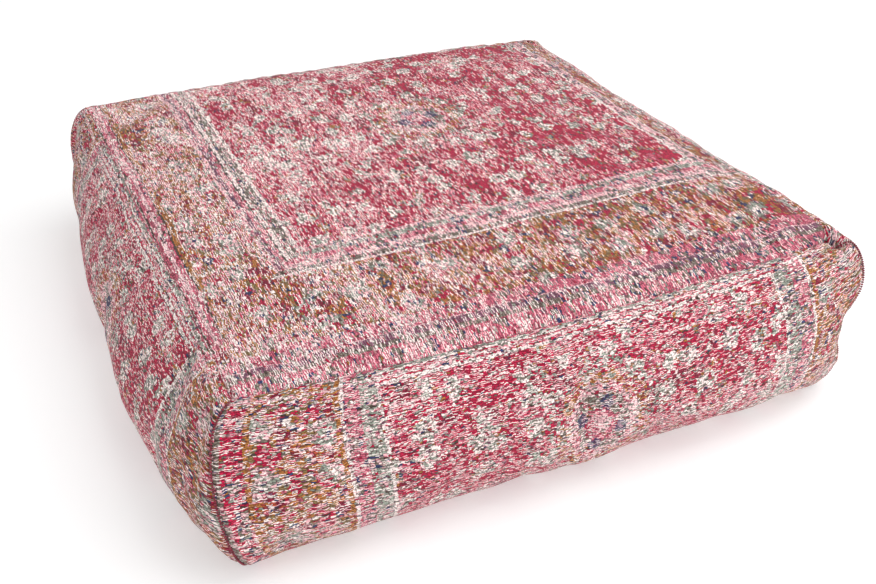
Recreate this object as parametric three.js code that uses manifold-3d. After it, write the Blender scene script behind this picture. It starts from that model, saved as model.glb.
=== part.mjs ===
// Square floor cushion: a woven cover with a zip across its back wall, an inner bag and its filling.
// Millimetres, +Z up, the base on z = 0 and the middle of the outline at x = y = 0.
// The front of the cushion faces -Y. The cushion's skin is one surface with six sides; every layer is
// cut from a shell of it, and a shell is named by its depth below that surface.
import * as THREE from 'three';
import { mergeVertices } from 'three/addons/utils/BufferGeometryUtils.js';
import Module from 'manifold-3d';

// ---- Driving dimensions ------------------------------------------------------------------------------
const SEAM_HALF = 300;       // half the width of the top panel, seam to seam
const SEAM_Z = 147;          // height of the top seam
const CROWN = 13;            // rise of the middle of the top panel above its seam
const BASE_HALF = 294;       // half the width of the base panel at its seam
const SHOULDER_DROP = 20;    // how steeply a wall leaves the top seam
const BELLY_LIFT = 8;        // how flatly a wall meets the base seam
const CORNER = { upper: 36, lower: 22 };       // how far a wall swells at a corner seam
const SWELL_SIDE = { upper: 44, lower: 86 };   // and at the middle of the front, left and right walls
const SWELL_BACK = { upper: 62, lower: 62 };   // and at the middle of the back wall
const BACK_FLAT = 0.78;      // share of the back wall that is straight, for the zip

const CORE_HALF = 346;       // half width and half height of the body that the shells shrink towards
const CORE_HEIGHT = 80;
const CLOTH = 3;             // thickness of the woven cover
const CANVAS = 2;            // thickness of the base panel
const EDGE = 1.4;            // from a panel's edge to the middle of its seam
const THREAD_R = 0.8;        // seam thread

const BAG_DEPTH = 9;         // inner bag below the surface of the cover
const BAG_CLOTH = 1.2;
const FILL_DEPTH = 12.5;     // filling below the surface of the cover

const ZIP_HALF = 214;        // half the length of the zip opening
const SLOT = 6.4;            // half the height of the slot that the zip lies in
const TAPE_IN = 6.5;         // inner face of the zip's tapes below the back wall
const TAPE_T = 0.7;
const TAPE_W = 17;
const COIL_T = 1.9;          // depth of a row of teeth
const COIL_H = 2.4;          // height of a row of teeth
const CHAIN_GAP = 0.7;       // from the middle of the chain to a row of teeth
const STOP_X = 209;          // middle of a stop
const SLIDER_X = 200;        // middle of the slider with the zip closed
const PIVOT_OUT = 1.0;       // the pull's pin, outside the back wall
const PULL_LENGTH = 27;

// ---- The cushion's surface ---------------------------------------------------------------------------
const WALLS = {
  front: { turn: 0, swell: SWELL_SIDE, spread: (u) => 1 - Math.abs(u) ** 3 },
  right: { turn: 1, swell: SWELL_SIDE, spread: (u) => 1 - Math.abs(u) ** 3 },
  back: { turn: 2, swell: SWELL_BACK, spread: (u) => 1 - THREE.MathUtils.smoothstep(Math.abs(u), BACK_FLAT, 1) },
  left: { turn: 3, swell: SWELL_SIDE, spread: (u) => 1 - Math.abs(u) ** 3 },
};

function bezier(t, a, b, c, d) {
  const s = 1 - t;
  return s * s * s * a + 3 * s * s * t * b + 3 * s * t * t * c + t * t * t * d;
}

function swellAt(v, swell) {
  return bezier(v, 0, swell.upper, swell.lower, BASE_HALF - SEAM_HALF);
}

// A point of a wall: u runs -1 to 1 from left to right as one faces it, v runs 0 to 1 from top to base.
function wallPoint(wall, u, v) {
  const corner = swellAt(v, CORNER);
  const share = wall.spread(u);
  const out = SEAM_HALF + corner * (1 - share) + swellAt(v, wall.swell) * share;
  const along = u * SEAM_HALF + Math.sign(u) * Math.abs(u) ** 3 * corner;
  const z = bezier(v, SEAM_Z, SEAM_Z - SHOULDER_DROP, BELLY_LIFT, 0);
  const angle = (wall.turn * Math.PI) / 2;
  const cos = Math.round(Math.cos(angle));
  const sin = Math.round(Math.sin(angle));
  return new THREE.Vector3(along * cos + out * sin, along * sin - out * cos, z);
}

// How far v moves over the given length of cloth, at a given place on a wall.
function lengthInV(wall, u, v, length) {
  const step = v < 0.5 ? 1e-3 : -1e-3;
  return (length * Math.abs(step)) / wallPoint(wall, u, v).distanceTo(wallPoint(wall, u, v + step));
}

function topPoint(s, t) {
  return new THREE.Vector3(SEAM_HALF * s, SEAM_HALF * t, SEAM_Z + CROWN * (1 - s ** 4) * (1 - t ** 4));
}

function basePoint(s, t) {
  return new THREE.Vector3(BASE_HALF * s, BASE_HALF * t, 0);
}

// Moves a point of the surface to the shell at the given depth.
function sink(point, depth) {
  const side = 1 - depth / CORE_HALF;
  const rise = 1 - depth / CORE_HEIGHT;
  return point.set(point.x * side, point.y * side, CORE_HEIGHT + (point.z - CORE_HEIGHT) * rise);
}

const backSurface = wallPoint(WALLS.back, 0, 0.5);
const BACK_Y = backSurface.y;
const ZIP_Z = backSurface.z;

// ---- Shape helpers -----------------------------------------------------------------------------------
// Bends a grid box onto the cushion: place(x, y, z) takes the box's own coordinates, each 0 to 1.
function bend(columns, rows, layers, place) {
  let geometry = new THREE.BoxGeometry(1, 1, 1, columns, rows, layers);
  geometry.deleteAttribute('normal');
  geometry.deleteAttribute('uv');
  const points = geometry.attributes.position;
  for (let i = 0; i < points.count; i += 1) {
    const point = place(points.getX(i) + 0.5, points.getY(i) + 0.5, points.getZ(i) + 0.5);
    points.setXYZ(i, point.x, point.y, point.z);
  }
  geometry = mergeVertices(geometry, 1e-4);
  geometry.computeVertexNormals();
  return geometry;
}

const spread = (x, margin) => (2 * x - 1) * (1 - margin);

function topPanel(depth, thickness, edge, count) {
  return bend(count, count, 1, (x, y, z) => (
    sink(topPoint(spread(x, edge / SEAM_HALF), spread(y, edge / SEAM_HALF)), depth + thickness * (1 - z))));
}

function basePanel(depth, thickness, edge, count) {
  return bend(count, count, 1, (x, y, z) => (
    sink(basePoint(spread(x, edge / BASE_HALF), -spread(y, edge / BASE_HALF)), depth + thickness * (1 - z))));
}

function wallPanel(wall, depth, thickness, edge, columns, rows) {
  return bend(columns, rows, 1, (x, y, z) => {
    const u = spread(x, edge / SEAM_HALF);
    const v0 = lengthInV(wall, u, 0, edge);
    const v1 = 1 - lengthInV(wall, u, 1, edge);
    return sink(wallPoint(wall, u, v0 + (1 - y) * (v1 - v0)), depth + thickness * (1 - z));
  });
}

// One of the two strips of the back wall. Its inner edge stands back along the zip.
const BACK_STATIONS = [0, 0.2, 0.4, 0.56, ZIP_HALF / SEAM_HALF - 0.01, ZIP_HALF / SEAM_HALF + 0.03,
  0.8, 0.86, 0.91, 0.955, 1];

function backStrip(upper, rows) {
  const steps = BACK_STATIONS.length - 1;
  const stations = [...BACK_STATIONS.slice(1).reverse().map((u) => -u), ...BACK_STATIONS];
  return bend(2 * steps, rows, 1, (x, y, z) => {
    const station = stations[Math.round(x * 2 * steps)];
    const u = station * (1 - EDGE / SEAM_HALF);
    const gap = Math.abs(station) < ZIP_HALF / SEAM_HALF ? SLOT : EDGE;
    const inner = 0.5 + (upper ? -1 : 1) * lengthInV(WALLS.back, u, 0.5, gap);
    const outer = Math.abs((upper ? 0 : 1) - lengthInV(WALLS.back, u, upper ? 0 : 1, EDGE));
    const v = upper ? outer + (1 - y) * (inner - outer) : inner + (1 - y) * (outer - inner);
    return sink(wallPoint(WALLS.back, u, v), CLOTH * (1 - z));
  });
}

// A round rod along a path of points.
class PathCurve extends THREE.Curve {
  constructor(pointAt) {
    super();
    this.pointAt = pointAt;
  }

  getPoint(t) {
    return this.pointAt(t);
  }
}

function rod(pointAt, steps, radius, sides = 6) {
  const ring = new THREE.Shape();
  for (let i = 0; i < sides; i += 1) {
    const angle = (2 * Math.PI * i) / sides;
    ring[i ? 'lineTo' : 'moveTo'](radius * Math.cos(angle), radius * Math.sin(angle));
  }
  ring.closePath();
  const geometry = new THREE.ExtrudeGeometry(ring, { steps, extrudePath: new PathCurve(pointAt) });
  geometry.deleteAttribute('normal');
  geometry.deleteAttribute('uv');
  const closed = mergeVertices(geometry, 1e-4);
  closed.computeVertexNormals();
  return closed;
}

function straightRod(from, to, radius) {
  return rod((t) => new THREE.Vector3().lerpVectors(from, to, t), 1, radius, 8);
}

// A box from its low and high corners.
function block(x0, x1, y0, y1, z0, z1) {
  return new THREE.BoxGeometry(x1 - x0, y1 - y0, z1 - z0)
    .translate((x0 + x1) / 2, (y0 + y1) / 2, (z0 + z1) / 2);
}

// ---- Joining solids ----------------------------------------------------------------------------------
const wasm = await Module();
wasm.setup();
const { Manifold, Mesh } = wasm;

function toSolid(geometry) {
  const bare = geometry.clone();
  bare.deleteAttribute('normal');
  bare.deleteAttribute('uv');
  const merged = mergeVertices(bare, 1e-4);
  return new Manifold(new Mesh({
    numProp: 3,
    vertProperties: Float32Array.from(merged.attributes.position.array),
    triVerts: Uint32Array.from(merged.index.array),
  }));
}

function toGeometry(solid) {
  const mesh = solid.getMesh();
  const geometry = new THREE.BufferGeometry();
  geometry.setAttribute('position', new THREE.BufferAttribute(Float32Array.from(mesh.vertProperties), 3));
  geometry.setIndex(new THREE.BufferAttribute(Uint32Array.from(mesh.triVerts), 1));
  geometry.computeVertexNormals();
  return geometry;
}

const join = (...geometries) => toGeometry(Manifold.union(geometries.map(toSolid)));
const cut = (geometry, tool) => toGeometry(toSolid(geometry).subtract(toSolid(tool)));

// ---- The assembly ------------------------------------------------------------------------------------
const group = new THREE.Group();
group.name = 'floor_cushion';

const COLOURS = {
  cover: 0xc4707c, canvas: 0xd9cfbd, thread: 0x8e2f45, tape: 0x9c8f83, teeth: 0xa79a8c,
  metal: 0xa7894f, bag: 0xece6da, fill: 0xf4f1ea,
};

function add(name, geometry, colour) {
  const mesh = new THREE.Mesh(geometry, new THREE.MeshStandardMaterial({ color: COLOURS[colour] }));
  mesh.name = name;
  group.add(mesh);
}

// Cover
add('top_panel', topPanel(0, CLOTH, EDGE, 12), 'cover');
add('base_panel', basePanel(0, CANVAS, EDGE, 4), 'canvas');
add('front_panel', wallPanel(WALLS.front, 0, CLOTH, EDGE, 12, 11), 'cover');
add('right_panel', wallPanel(WALLS.right, 0, CLOTH, EDGE, 12, 11), 'cover');
add('left_panel', wallPanel(WALLS.left, 0, CLOTH, EDGE, 12, 11), 'cover');
add('back_strip_upper', backStrip(true, 6), 'cover');
add('back_strip_lower', backStrip(false, 6), 'cover');

// Seam threads lie in the grooves between the panels.
const THREAD_DEPTH = 1.2;
for (const [name, wall] of Object.entries(WALLS)) {
  const reach = 1 - 5 / SEAM_HALF;
  for (const [place, v] of [['top', 0], ['base', 1]]) {
    const from = sink(wallPoint(wall, -reach, v), THREAD_DEPTH);
    const to = sink(wallPoint(wall, reach, v), THREAD_DEPTH);
    add(`thread_${place}_${name}`, straightRod(from, to, THREAD_R), 'thread');
  }
}
for (const [name, wall] of [['front_left', WALLS.left], ['front_right', WALLS.front],
  ['back_right', WALLS.right], ['back_left', WALLS.back]]) {
  const path = (t) => sink(wallPoint(wall, 1, 0.035 + 0.925 * t), THREAD_DEPTH);
  add(`thread_corner_${name}`, rod(path, 16, THREAD_R), 'thread');
}
for (const [name, side] of [['left', 1], ['right', -1]]) {
  const first = ZIP_HALF / SEAM_HALF + 0.045;
  const path = (t) => sink(wallPoint(WALLS.back, side * (first + (0.985 - first) * t), 0.5), THREAD_DEPTH);
  add(`thread_back_${name}`, rod(path, 12, THREAD_R), 'thread');
}

// Zip: two tapes and two rows of teeth, held by a stop at each end, with two rows of stitching.
const tapeY = BACK_Y - TAPE_IN;
const coilY = tapeY + TAPE_T + 0.3;
for (const [name, side] of [['upper', 1], ['lower', -1]]) {
  const span = (near, far) => (side > 0 ? [ZIP_Z + near, ZIP_Z + far] : [ZIP_Z - far, ZIP_Z - near]);
  const reach = ZIP_HALF + 6;
  add(`zip_tape_${name}`, block(-reach, reach, tapeY, tapeY + TAPE_T, ...span(CHAIN_GAP, TAPE_W)), 'tape');
  const teeth = span(CHAIN_GAP, CHAIN_GAP + COIL_H);
  const run = STOP_X - 2.2;
  add(`zip_teeth_${name}`, block(-run, run, coilY, coilY + COIL_T, ...teeth), 'teeth');
  const stitchZ = ZIP_Z + side * (SLOT + 4);
  const stitchY = BACK_Y + 0.8;
  const from = new THREE.Vector3(-ZIP_HALF + 2, stitchY, stitchZ);
  const to = new THREE.Vector3(ZIP_HALF - 2, stitchY, stitchZ);
  add(`zip_stitch_${name}`, straightRod(from, to, 0.45), 'thread');
}
for (const [name, side] of [['closed', 1], ['open', -1]]) {
  const x = side * STOP_X;
  add(`zip_stop_${name}`, block(x - 1.8, x + 1.8, coilY, coilY + 2.4, ZIP_Z - 3.6, ZIP_Z + 3.6), 'metal');
}

// Slider: a plate on each side of the tapes, a thin neck through the middle of the chain, side walls
// that keep the teeth in line, and two ears with a pin for the pull.
const plateY = coilY + COIL_T + 0.35;
const pivotY = BACK_Y + PIVOT_OUT;
const sliderBody = join(
  block(SLIDER_X - 6.5, SLIDER_X + 6.5, plateY, plateY + 1.1, ZIP_Z - 5, ZIP_Z + 5),
  block(SLIDER_X - 6.5, SLIDER_X + 6.5, tapeY + TAPE_T + 0.3, plateY + 0.5, ZIP_Z + 3.6, ZIP_Z + 5),
  block(SLIDER_X - 6.5, SLIDER_X + 6.5, tapeY + TAPE_T + 0.3, plateY + 0.5, ZIP_Z - 5, ZIP_Z - 3.6),
  block(SLIDER_X - 6.5, SLIDER_X + 6.5, tapeY - 1.4, tapeY - 0.3, ZIP_Z - 5, ZIP_Z + 5),
  block(SLIDER_X - 2.5, SLIDER_X + 2.5, tapeY - 0.8, plateY + 0.5, ZIP_Z - 0.4, ZIP_Z + 0.4),
  block(SLIDER_X - 1.6, SLIDER_X + 1.6, plateY + 0.5, pivotY + 1.5, ZIP_Z + 2.6, ZIP_Z + 3.8),
  block(SLIDER_X - 1.6, SLIDER_X + 1.6, plateY + 0.5, pivotY + 1.5, ZIP_Z - 3.8, ZIP_Z - 2.6),
  new THREE.CylinderGeometry(0.7, 0.7, 6.4, 12).rotateX(Math.PI / 2)
    .translate(SLIDER_X, pivotY, ZIP_Z),
);
add('zip_slider', sliderBody, 'metal');

// Pull: an eye round the pin and a tab that lies along the chain.
const eye = new THREE.CylinderGeometry(1.7, 1.7, 4.2, 16).rotateX(Math.PI / 2)
  .translate(SLIDER_X, pivotY, ZIP_Z);
const hole = new THREE.CylinderGeometry(1.0, 1.0, 6, 16).rotateX(Math.PI / 2)
  .translate(SLIDER_X, pivotY, ZIP_Z);
const neck = block(SLIDER_X - 7.5, SLIDER_X - 1.1, pivotY - 0.6, pivotY + 0.6, ZIP_Z - 1.9, ZIP_Z + 1.9);
const tabShape = new THREE.Shape();
tabShape.absellipse(-3.4, 0, 3.6, 3.6, Math.PI / 2, 1.5 * Math.PI, false);
tabShape.lineTo(PULL_LENGTH - 12, -2.6);
tabShape.lineTo(PULL_LENGTH - 12, 2.6);
tabShape.closePath();
const tabLength = PULL_LENGTH - 12;
const tab = new THREE.ExtrudeGeometry(tabShape, { depth: 1.2, bevelEnabled: false, curveSegments: 10 })
  .rotateX(Math.PI / 2)
  .translate(SLIDER_X - 6 - tabLength, pivotY + 0.6, ZIP_Z);
add('zip_pull', cut(join(eye, neck, tab), hole), 'metal');

// Inner bag and filling
add('bag_top', topPanel(BAG_DEPTH, BAG_CLOTH, 0.8, 10), 'bag');
add('bag_bottom', basePanel(BAG_DEPTH, BAG_CLOTH, 0.8, 4), 'bag');
for (const [name, wall] of Object.entries(WALLS)) {
  add(`bag_wall_${name}`, wallPanel(wall, BAG_DEPTH, BAG_CLOTH, 0.8, 10, 9), 'bag');
}

function fillPoint(x, y, z) {
  if (z > 0.999) return topPoint(spread(x, 0), spread(y, 0));
  if (z < 0.001) return basePoint(spread(x, 0), spread(y, 0));
  if (y < 0.001) return wallPoint(WALLS.front, spread(x, 0), 1 - z);
  if (y > 0.999) return wallPoint(WALLS.back, -spread(x, 0), 1 - z);
  if (x < 0.001) return wallPoint(WALLS.left, -spread(y, 0), 1 - z);
  return wallPoint(WALLS.right, spread(y, 0), 1 - z);
}
add('filling', bend(10, 10, 9, (x, y, z) => sink(fillPoint(x, y, z), FILL_DEPTH)), 'fill');

export default group;
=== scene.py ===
"""A square floor cushion: a rug-weave cover with a zip in its back wall, over a cotton bag of loose filling."""

import logging
import math
from dataclasses import dataclass, field
from enum import Enum

import bmesh
import bpy
import numpy as np
from bmesh.types import BMesh
from bpy.types import Material, Mesh, Node, NodeSocket, NodeTree, Object
from mathutils import Matrix, Vector


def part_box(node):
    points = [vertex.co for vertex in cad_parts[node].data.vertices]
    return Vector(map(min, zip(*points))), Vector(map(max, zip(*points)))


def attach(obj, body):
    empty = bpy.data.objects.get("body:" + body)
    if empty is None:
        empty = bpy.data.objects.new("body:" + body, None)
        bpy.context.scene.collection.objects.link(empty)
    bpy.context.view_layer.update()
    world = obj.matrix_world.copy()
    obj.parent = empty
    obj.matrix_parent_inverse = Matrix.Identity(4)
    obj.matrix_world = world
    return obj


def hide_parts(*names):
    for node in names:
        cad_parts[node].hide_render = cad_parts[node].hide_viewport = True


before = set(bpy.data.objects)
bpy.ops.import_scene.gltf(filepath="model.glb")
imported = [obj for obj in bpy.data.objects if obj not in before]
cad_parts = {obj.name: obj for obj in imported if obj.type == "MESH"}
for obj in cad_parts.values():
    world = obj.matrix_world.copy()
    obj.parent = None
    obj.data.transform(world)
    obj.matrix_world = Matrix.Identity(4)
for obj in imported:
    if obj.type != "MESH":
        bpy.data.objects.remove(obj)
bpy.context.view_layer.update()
LOG = logging.getLogger("floor_cushion")
MM = 0.001
PER_METRE = 1000.0


# ---- Shared helpers -------------------------------------------------------------------------------------


def linear(hex_colour: str) -> tuple[float, float, float, float]:
    """Turns an sRGB hex colour into the linear colour a shader takes.

    Args:
        hex_colour: Six hex digits, with or without a leading #.

    Returns:
        Red, green and blue in linear light, and an alpha of 1.
    """
    digits = hex_colour.lstrip("#")
    parts = [int(digits[i : i + 2], 16) / 255 for i in (0, 2, 4)]
    red, green, blue = (p / 12.92 if p <= 0.04045 else ((p + 0.055) / 1.055) ** 2.4 for p in parts)
    return red, green, blue, 1.0


def add(tree: NodeTree, kind: str, inputs: dict | None = None, **settings: object) -> Node:
    """Adds a node with its settings and links.

    Args:
        tree: The material's node tree.
        kind: The node's type after ShaderNode, such as Math.
        inputs: For each input, by name or number: a value, a socket, or a node whose first output it takes.
        **settings: The node's properties.

    Returns:
        The node.
    """
    node = tree.nodes.new(f"ShaderNode{kind}")
    for name, value in settings.items():
        setattr(node, name, value)
    for key, value in (inputs or {}).items():
        source = value.outputs[0] if isinstance(value, Node) else value
        if isinstance(source, NodeSocket):
            tree.links.new(source, node.inputs[key])
        else:
            node.inputs[key].default_value = source
    return node


def set_stops(node: Node, stops: list[tuple]) -> Node:
    """Fills a colour ramp with hard steps.

    Args:
        node: A colour ramp node.
        stops: Positions from 0 to 1 with the yarns or linear colours that start there, in order.

    Returns:
        The same node.
    """
    ramp = node.color_ramp
    ramp.interpolation = "CONSTANT"
    while len(ramp.elements) > 1:
        ramp.elements.remove(ramp.elements[-1])
    for number, (position, colour) in enumerate(stops):
        stop = ramp.elements.new(position) if number else ramp.elements[0]
        stop.position, stop.color = position, colour.dye if isinstance(colour, Yarn) else colour
    return node


def object_from(bm: BMesh, name: str, smooth: bool = True) -> Object:
    """Makes an object of a finished bmesh.

    Args:
        bm: The shape, in metres, in the row frame. It is freed.
        name: The piece's name.
        smooth: Whether its faces are shaded smooth.

    Returns:
        The new object, at the origin.
    """
    mesh = bpy.data.meshes.new(name)
    bm.to_mesh(mesh)
    bm.free()
    if smooth:
        mesh.shade_smooth()
    piece = bpy.data.objects.new(name, mesh)
    bpy.context.scene.collection.objects.link(piece)
    return piece


def repeat(shape: BMesh, places: list[Matrix], into: BMesh | None = None) -> BMesh:
    """Copies a small shape to many places.

    Args:
        shape: The shape. It is freed.
        places: A transform for each copy.
        into: The bmesh that takes the copies, or None for a new one.

    Returns:
        The bmesh with the copies.
    """
    pattern = bpy.data.meshes.new("pattern")
    shape.to_mesh(pattern)
    shape.free()
    bm = into or bmesh.new()
    for place in places:
        one = pattern.copy()
        one.transform(place)
        bm.from_mesh(one)
        bpy.data.meshes.remove(one)
    bpy.data.meshes.remove(pattern)
    return bm


def bead(sides: int, rings: int) -> BMesh:
    """A unit sphere of few faces, for stitches and teeth."""
    bm = bmesh.new()
    bmesh.ops.create_uvsphere(bm, u_segments=sides, v_segments=rings, radius=1.0)
    return bm


def settle(piece: Object) -> None:
    """Applies a piece's modifiers to its mesh."""
    graph = bpy.context.evaluated_depsgraph_get()
    applied = bpy.data.meshes.new_from_object(piece.evaluated_get(graph))
    old = piece.data
    piece.modifiers.clear()
    piece.data = applied
    bpy.data.meshes.remove(old)


def subdivide(piece: Object) -> bpy.types.Modifier:
    """Adds one level of smooth subdivision to a piece."""
    smooth = piece.modifiers.new("smooth", "SUBSURF")
    smooth.levels = smooth.render_levels = 1
    return smooth


def thicken(piece: Object, thickness: float) -> bpy.types.Modifier:
    """Gives a sheet its thickness in metres, inwards from its face."""
    shell = piece.modifiers.new("thickness", "SOLIDIFY")
    shell.thickness, shell.offset = thickness, -1.0
    return shell


def add_grid(bm: BMesh, places: np.ndarray) -> dict:
    """Adds a grid to a bmesh.

    Args:
        bm: The bmesh.
        places: The points of its columns and rows in millimetres.

    Returns:
        Each new vertex's column and row.
    """
    last = [size - 1 for size in places.shape[:2]]
    made = bmesh.ops.create_grid(bm, x_segments=last[0], y_segments=last[1], size=1.0)["verts"]
    found = {vert: tuple(round((vert.co[k] + 1) / 2 * last[k]) for k in (0, 1)) for vert in made}
    for vert, cell in found.items():
        vert.co = Vector(places[cell]) * MM
    return found


def close_up(bm: BMesh) -> None:
    """Joins the edges of grids that meet and points the faces outwards."""
    bmesh.ops.remove_doubles(bm, verts=bm.verts[:], dist=2e-5)
    bmesh.ops.recalc_face_normals(bm, faces=bm.faces[:])


def values_of(items: bpy.types.bpy_prop_collection, key: str, width: int, kind: type = np.float32) -> np.ndarray:
    """Reads a property of each of a mesh's items as rows of the given width."""
    flat = np.empty(len(items) * width, kind)
    items.foreach_get(key, flat)
    return flat.reshape(-1, width)


def points_of(mesh: Mesh) -> np.ndarray:
    """Reads a mesh's vertices as rows x, y, z."""
    return values_of(mesh.vertices, "co", 3).astype(float)


def normals_of(mesh: Mesh) -> np.ndarray:
    """Reads the normals of a mesh's vertices as rows x, y, z."""
    return np.array([v.normal for v in mesh.vertices])


def move_points(mesh: Mesh, points: np.ndarray) -> None:
    """Writes a mesh's vertices from rows x, y, z."""
    mesh.vertices.foreach_set("co", points.astype(np.float32).ravel())
    mesh.update()


def ripple(points: np.ndarray, size: float, seed: int) -> np.ndarray:
    """Smooth repeatable noise.

    Args:
        points: Rows of coordinates in metres.
        size: The width of one hump in metres.
        seed: Which noise.

    Returns:
        A value from about -1 to 1 for each row.
    """
    rng = np.random.default_rng(seed)
    total = np.zeros(len(points))
    for _ in range(7):
        direction = rng.normal(size=points.shape[1])
        direction *= rng.uniform(0.6, 1.4) * math.pi / size / np.linalg.norm(direction)
        total += np.sin(points @ direction + rng.uniform(0, 2 * math.pi))
    return total / 3.2


def smooth_fall(t: np.ndarray) -> np.ndarray:
    """Falls smoothly from 1 to 0 while t goes from 0 to 1."""
    t = np.clip(t, 0, 1)
    return 1 - t * t * (3 - 2 * t)


def bell(gap: np.ndarray, width: float) -> np.ndarray:
    """Falls from 1 where the gap is 0 towards 0 where it is a few widths."""
    return np.exp(-((gap / width) ** 2))


def lengths_along(line: np.ndarray) -> np.ndarray:
    """The distance along a line of points to each of them."""
    return np.concatenate([[0], np.cumsum(np.linalg.norm(np.diff(line, axis=0), axis=1))])


def finish_piece(piece: Object, node: str, body: str, material: Material) -> None:
    """Gives a piece its material, sets it on its body, hides the CAD node it stands for and logs it.

    Args:
        piece: The finished piece.
        node: The CAD node.
        body: The CAD body.
        material: The material.
    """
    piece.data.materials.clear()
    piece.data.materials.append(material)
    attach(piece, body)
    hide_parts(node)
    LOG.info("%s: %d faces on %s", piece.name, len(piece.data.polygons), body)


# ---- Finishes -------------------------------------------------------------------------------------------


class Yarn(Enum):
    """The dyed yarns of the rug cloth, and the painted shade in the gaps between them, as sRGB hex."""

    CRIMSON = "#C42148"
    MADDER = "#94243F"
    ROSE = "#D4687E"
    BLUSH = "#F2BCC2"
    CREAM = "#FFEEE9"
    SAGE = "#A1A79A"
    SLATE = "#857A6E"
    PEAT = "#57483F"
    OCHRE = "#BC7A40"
    RUST = "#B4503A"
    NAVY = "#38426A"
    MAUVE = "#8D5A70"
    MOSS = "#8E744C"
    # Not a yarn: the painted shade of the gaps between the stitches, laid over the colour in RugWeave._surface.
    SHADE = "#55262F"

    @property
    def dye(self) -> tuple[float, float, float, float]:
        """The yarn's colour in linear light."""
        return linear(self.value)


class Figure(Enum):
    """What runs through a stripe of the border, as the ramp's alpha."""

    PLAIN = 0.0
    BEADED = 0.5
    FLOWERED = 1.0


PLAIN, BEADED, FLOWERED = Figure

# A stripe of the rug's border: where it starts, in millimetres out from the field, its yarn and its figure.
Stripe = tuple[float, Yarn, Figure]

SIDE_STRIPES: tuple[Stripe, ...] = (
    (0, Yarn.CREAM, PLAIN), (2, Yarn.SLATE, BEADED), (12, Yarn.CREAM, PLAIN), (16, Yarn.PEAT, PLAIN),
    (18, Yarn.ROSE, BEADED), (25, Yarn.MAUVE, PLAIN), (29, Yarn.BLUSH, PLAIN), (32, Yarn.OCHRE, FLOWERED),
    (96, Yarn.OCHRE, PLAIN), (103, Yarn.PEAT, PLAIN), (105, Yarn.ROSE, PLAIN), (109, Yarn.BLUSH, PLAIN),
    (112, Yarn.ROSE, PLAIN), (117, Yarn.PEAT, PLAIN), (119, Yarn.CREAM, PLAIN), (121.5, Yarn.SAGE, PLAIN),
    (130, Yarn.CREAM, PLAIN), (132, Yarn.PEAT, PLAIN),
)
FAR_SIDE_STRIPES: tuple[Stripe, ...] = (
    (0, Yarn.CREAM, PLAIN), (3, Yarn.BLUSH, BEADED), (12, Yarn.CREAM, PLAIN), (15, Yarn.OCHRE, FLOWERED),
    (110, Yarn.OCHRE, PLAIN),
)
END_STRIPES: tuple[Stripe, ...] = (
    (0, Yarn.BLUSH, BEADED), (5, Yarn.SAGE, BEADED), (13, Yarn.ROSE, BEADED), (22, Yarn.BLUSH, BEADED),
    (30, Yarn.SLATE, BEADED), (37, Yarn.CREAM, PLAIN), (40, Yarn.OCHRE, FLOWERED), (134, Yarn.ROSE, BEADED),
    (150, Yarn.BLUSH, PLAIN), (152, Yarn.MAUVE, BEADED), (160, Yarn.SLATE, BEADED), (166, Yarn.ROSE, BEADED),
)
WALL_EDGE_STRIPES: tuple[Stripe, ...] = (
    (0, Yarn.CREAM, PLAIN), (2.2, Yarn.CRIMSON, BEADED), (8.4, Yarn.CREAM, PLAIN), (10, Yarn.SAGE, BEADED),
    (14, Yarn.ROSE, PLAIN),
)
WALL_END_STRIPES: tuple[Stripe, ...] = (
    (0, Yarn.CREAM, PLAIN), (2.5, Yarn.SAGE, BEADED), (17, Yarn.ROSE, BEADED), (30, Yarn.CREAM, PLAIN),
    (33, Yarn.OCHRE, PLAIN), (37, Yarn.OCHRE, FLOWERED), (98, Yarn.OCHRE, PLAIN), (103, Yarn.CRIMSON, BEADED),
    (118, Yarn.SLATE, BEADED),
)


@dataclass(frozen=True)
class Flower:
    """A flower that is scattered over part of the design.

    Attributes:
        spacing: Distance from one to the next in millimetres.
        reach: Its radius as a share of the spacing.
        share: How many of the places hold one.
        petals: Its rings' starts, as shares of the spacing, and their yarns.
    """

    spacing: float
    reach: float
    share: float
    petals: tuple[tuple[float, Yarn], ...]


BUD = Flower(19.0, 0.24, 0.35, ((0.0, Yarn.SAGE), (0.16, Yarn.OCHRE)))
BLOSSOM = Flower(29.0, 0.29, 0.78, ((0.0, Yarn.SLATE), (0.07, Yarn.CREAM), (0.15, Yarn.SAGE), (0.23, Yarn.CREAM)))
BEAD = Flower(17.0, 0.33, 0.6, ((0.0, Yarn.BLUSH), (0.12, Yarn.SLATE), (0.26, Yarn.NAVY)))
SPRIG = Flower(16.0, 0.24, 0.4, ((0.0, Yarn.CREAM), (0.14, Yarn.NAVY)))
ROSETTE = Flower(42.0, 0.28, 0.85, (
    (0.0, Yarn.NAVY), (0.05, Yarn.CREAM), (0.1, Yarn.SAGE), (0.2, Yarn.BLUSH), (0.24, Yarn.SLATE)))
# The medallion's radius and the radius it starts to fade at, in millimetres, and its petals' turn.
MEDALLION_RADIUS, MEDALLION_CORE, PETAL_TURN = 80.0, 25.0, math.radians(-14)
# How many dashes the starts of neighbouring threads, and of the warp's, are spread over.
FLOAT_SPREAD, WARP_SPREAD = 7.3, 9.7
# How the woven lines wander: waves per millimetre, and how far across and along the threads.
SWAYS = ((0.011, (6.0, 5.0)), (0.24, (2.6, 2.8)))
# How a flower's edge frays: waves per millimetre, octaves, and how far across and along the threads.
FRAY = (0.07, 3.0, (22.0, 22.0))


class Finish:
    """A material that is drawn by shader nodes."""

    def material(self, name: str) -> Material:
        """Builds the material.

        Args:
            name: Its name.

        Returns:
            The material.
        """
        material = bpy.data.materials.new(name)
        material.use_nodes = True
        tree = material.node_tree
        tree.nodes.clear()
        add(tree, "OutputMaterial", {"Surface": self.shade(tree)})
        return material

    def shade(self, tree: NodeTree) -> Node:
        """Adds the finish's nodes to a tree and returns its shader."""
        raise NotImplementedError


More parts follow.
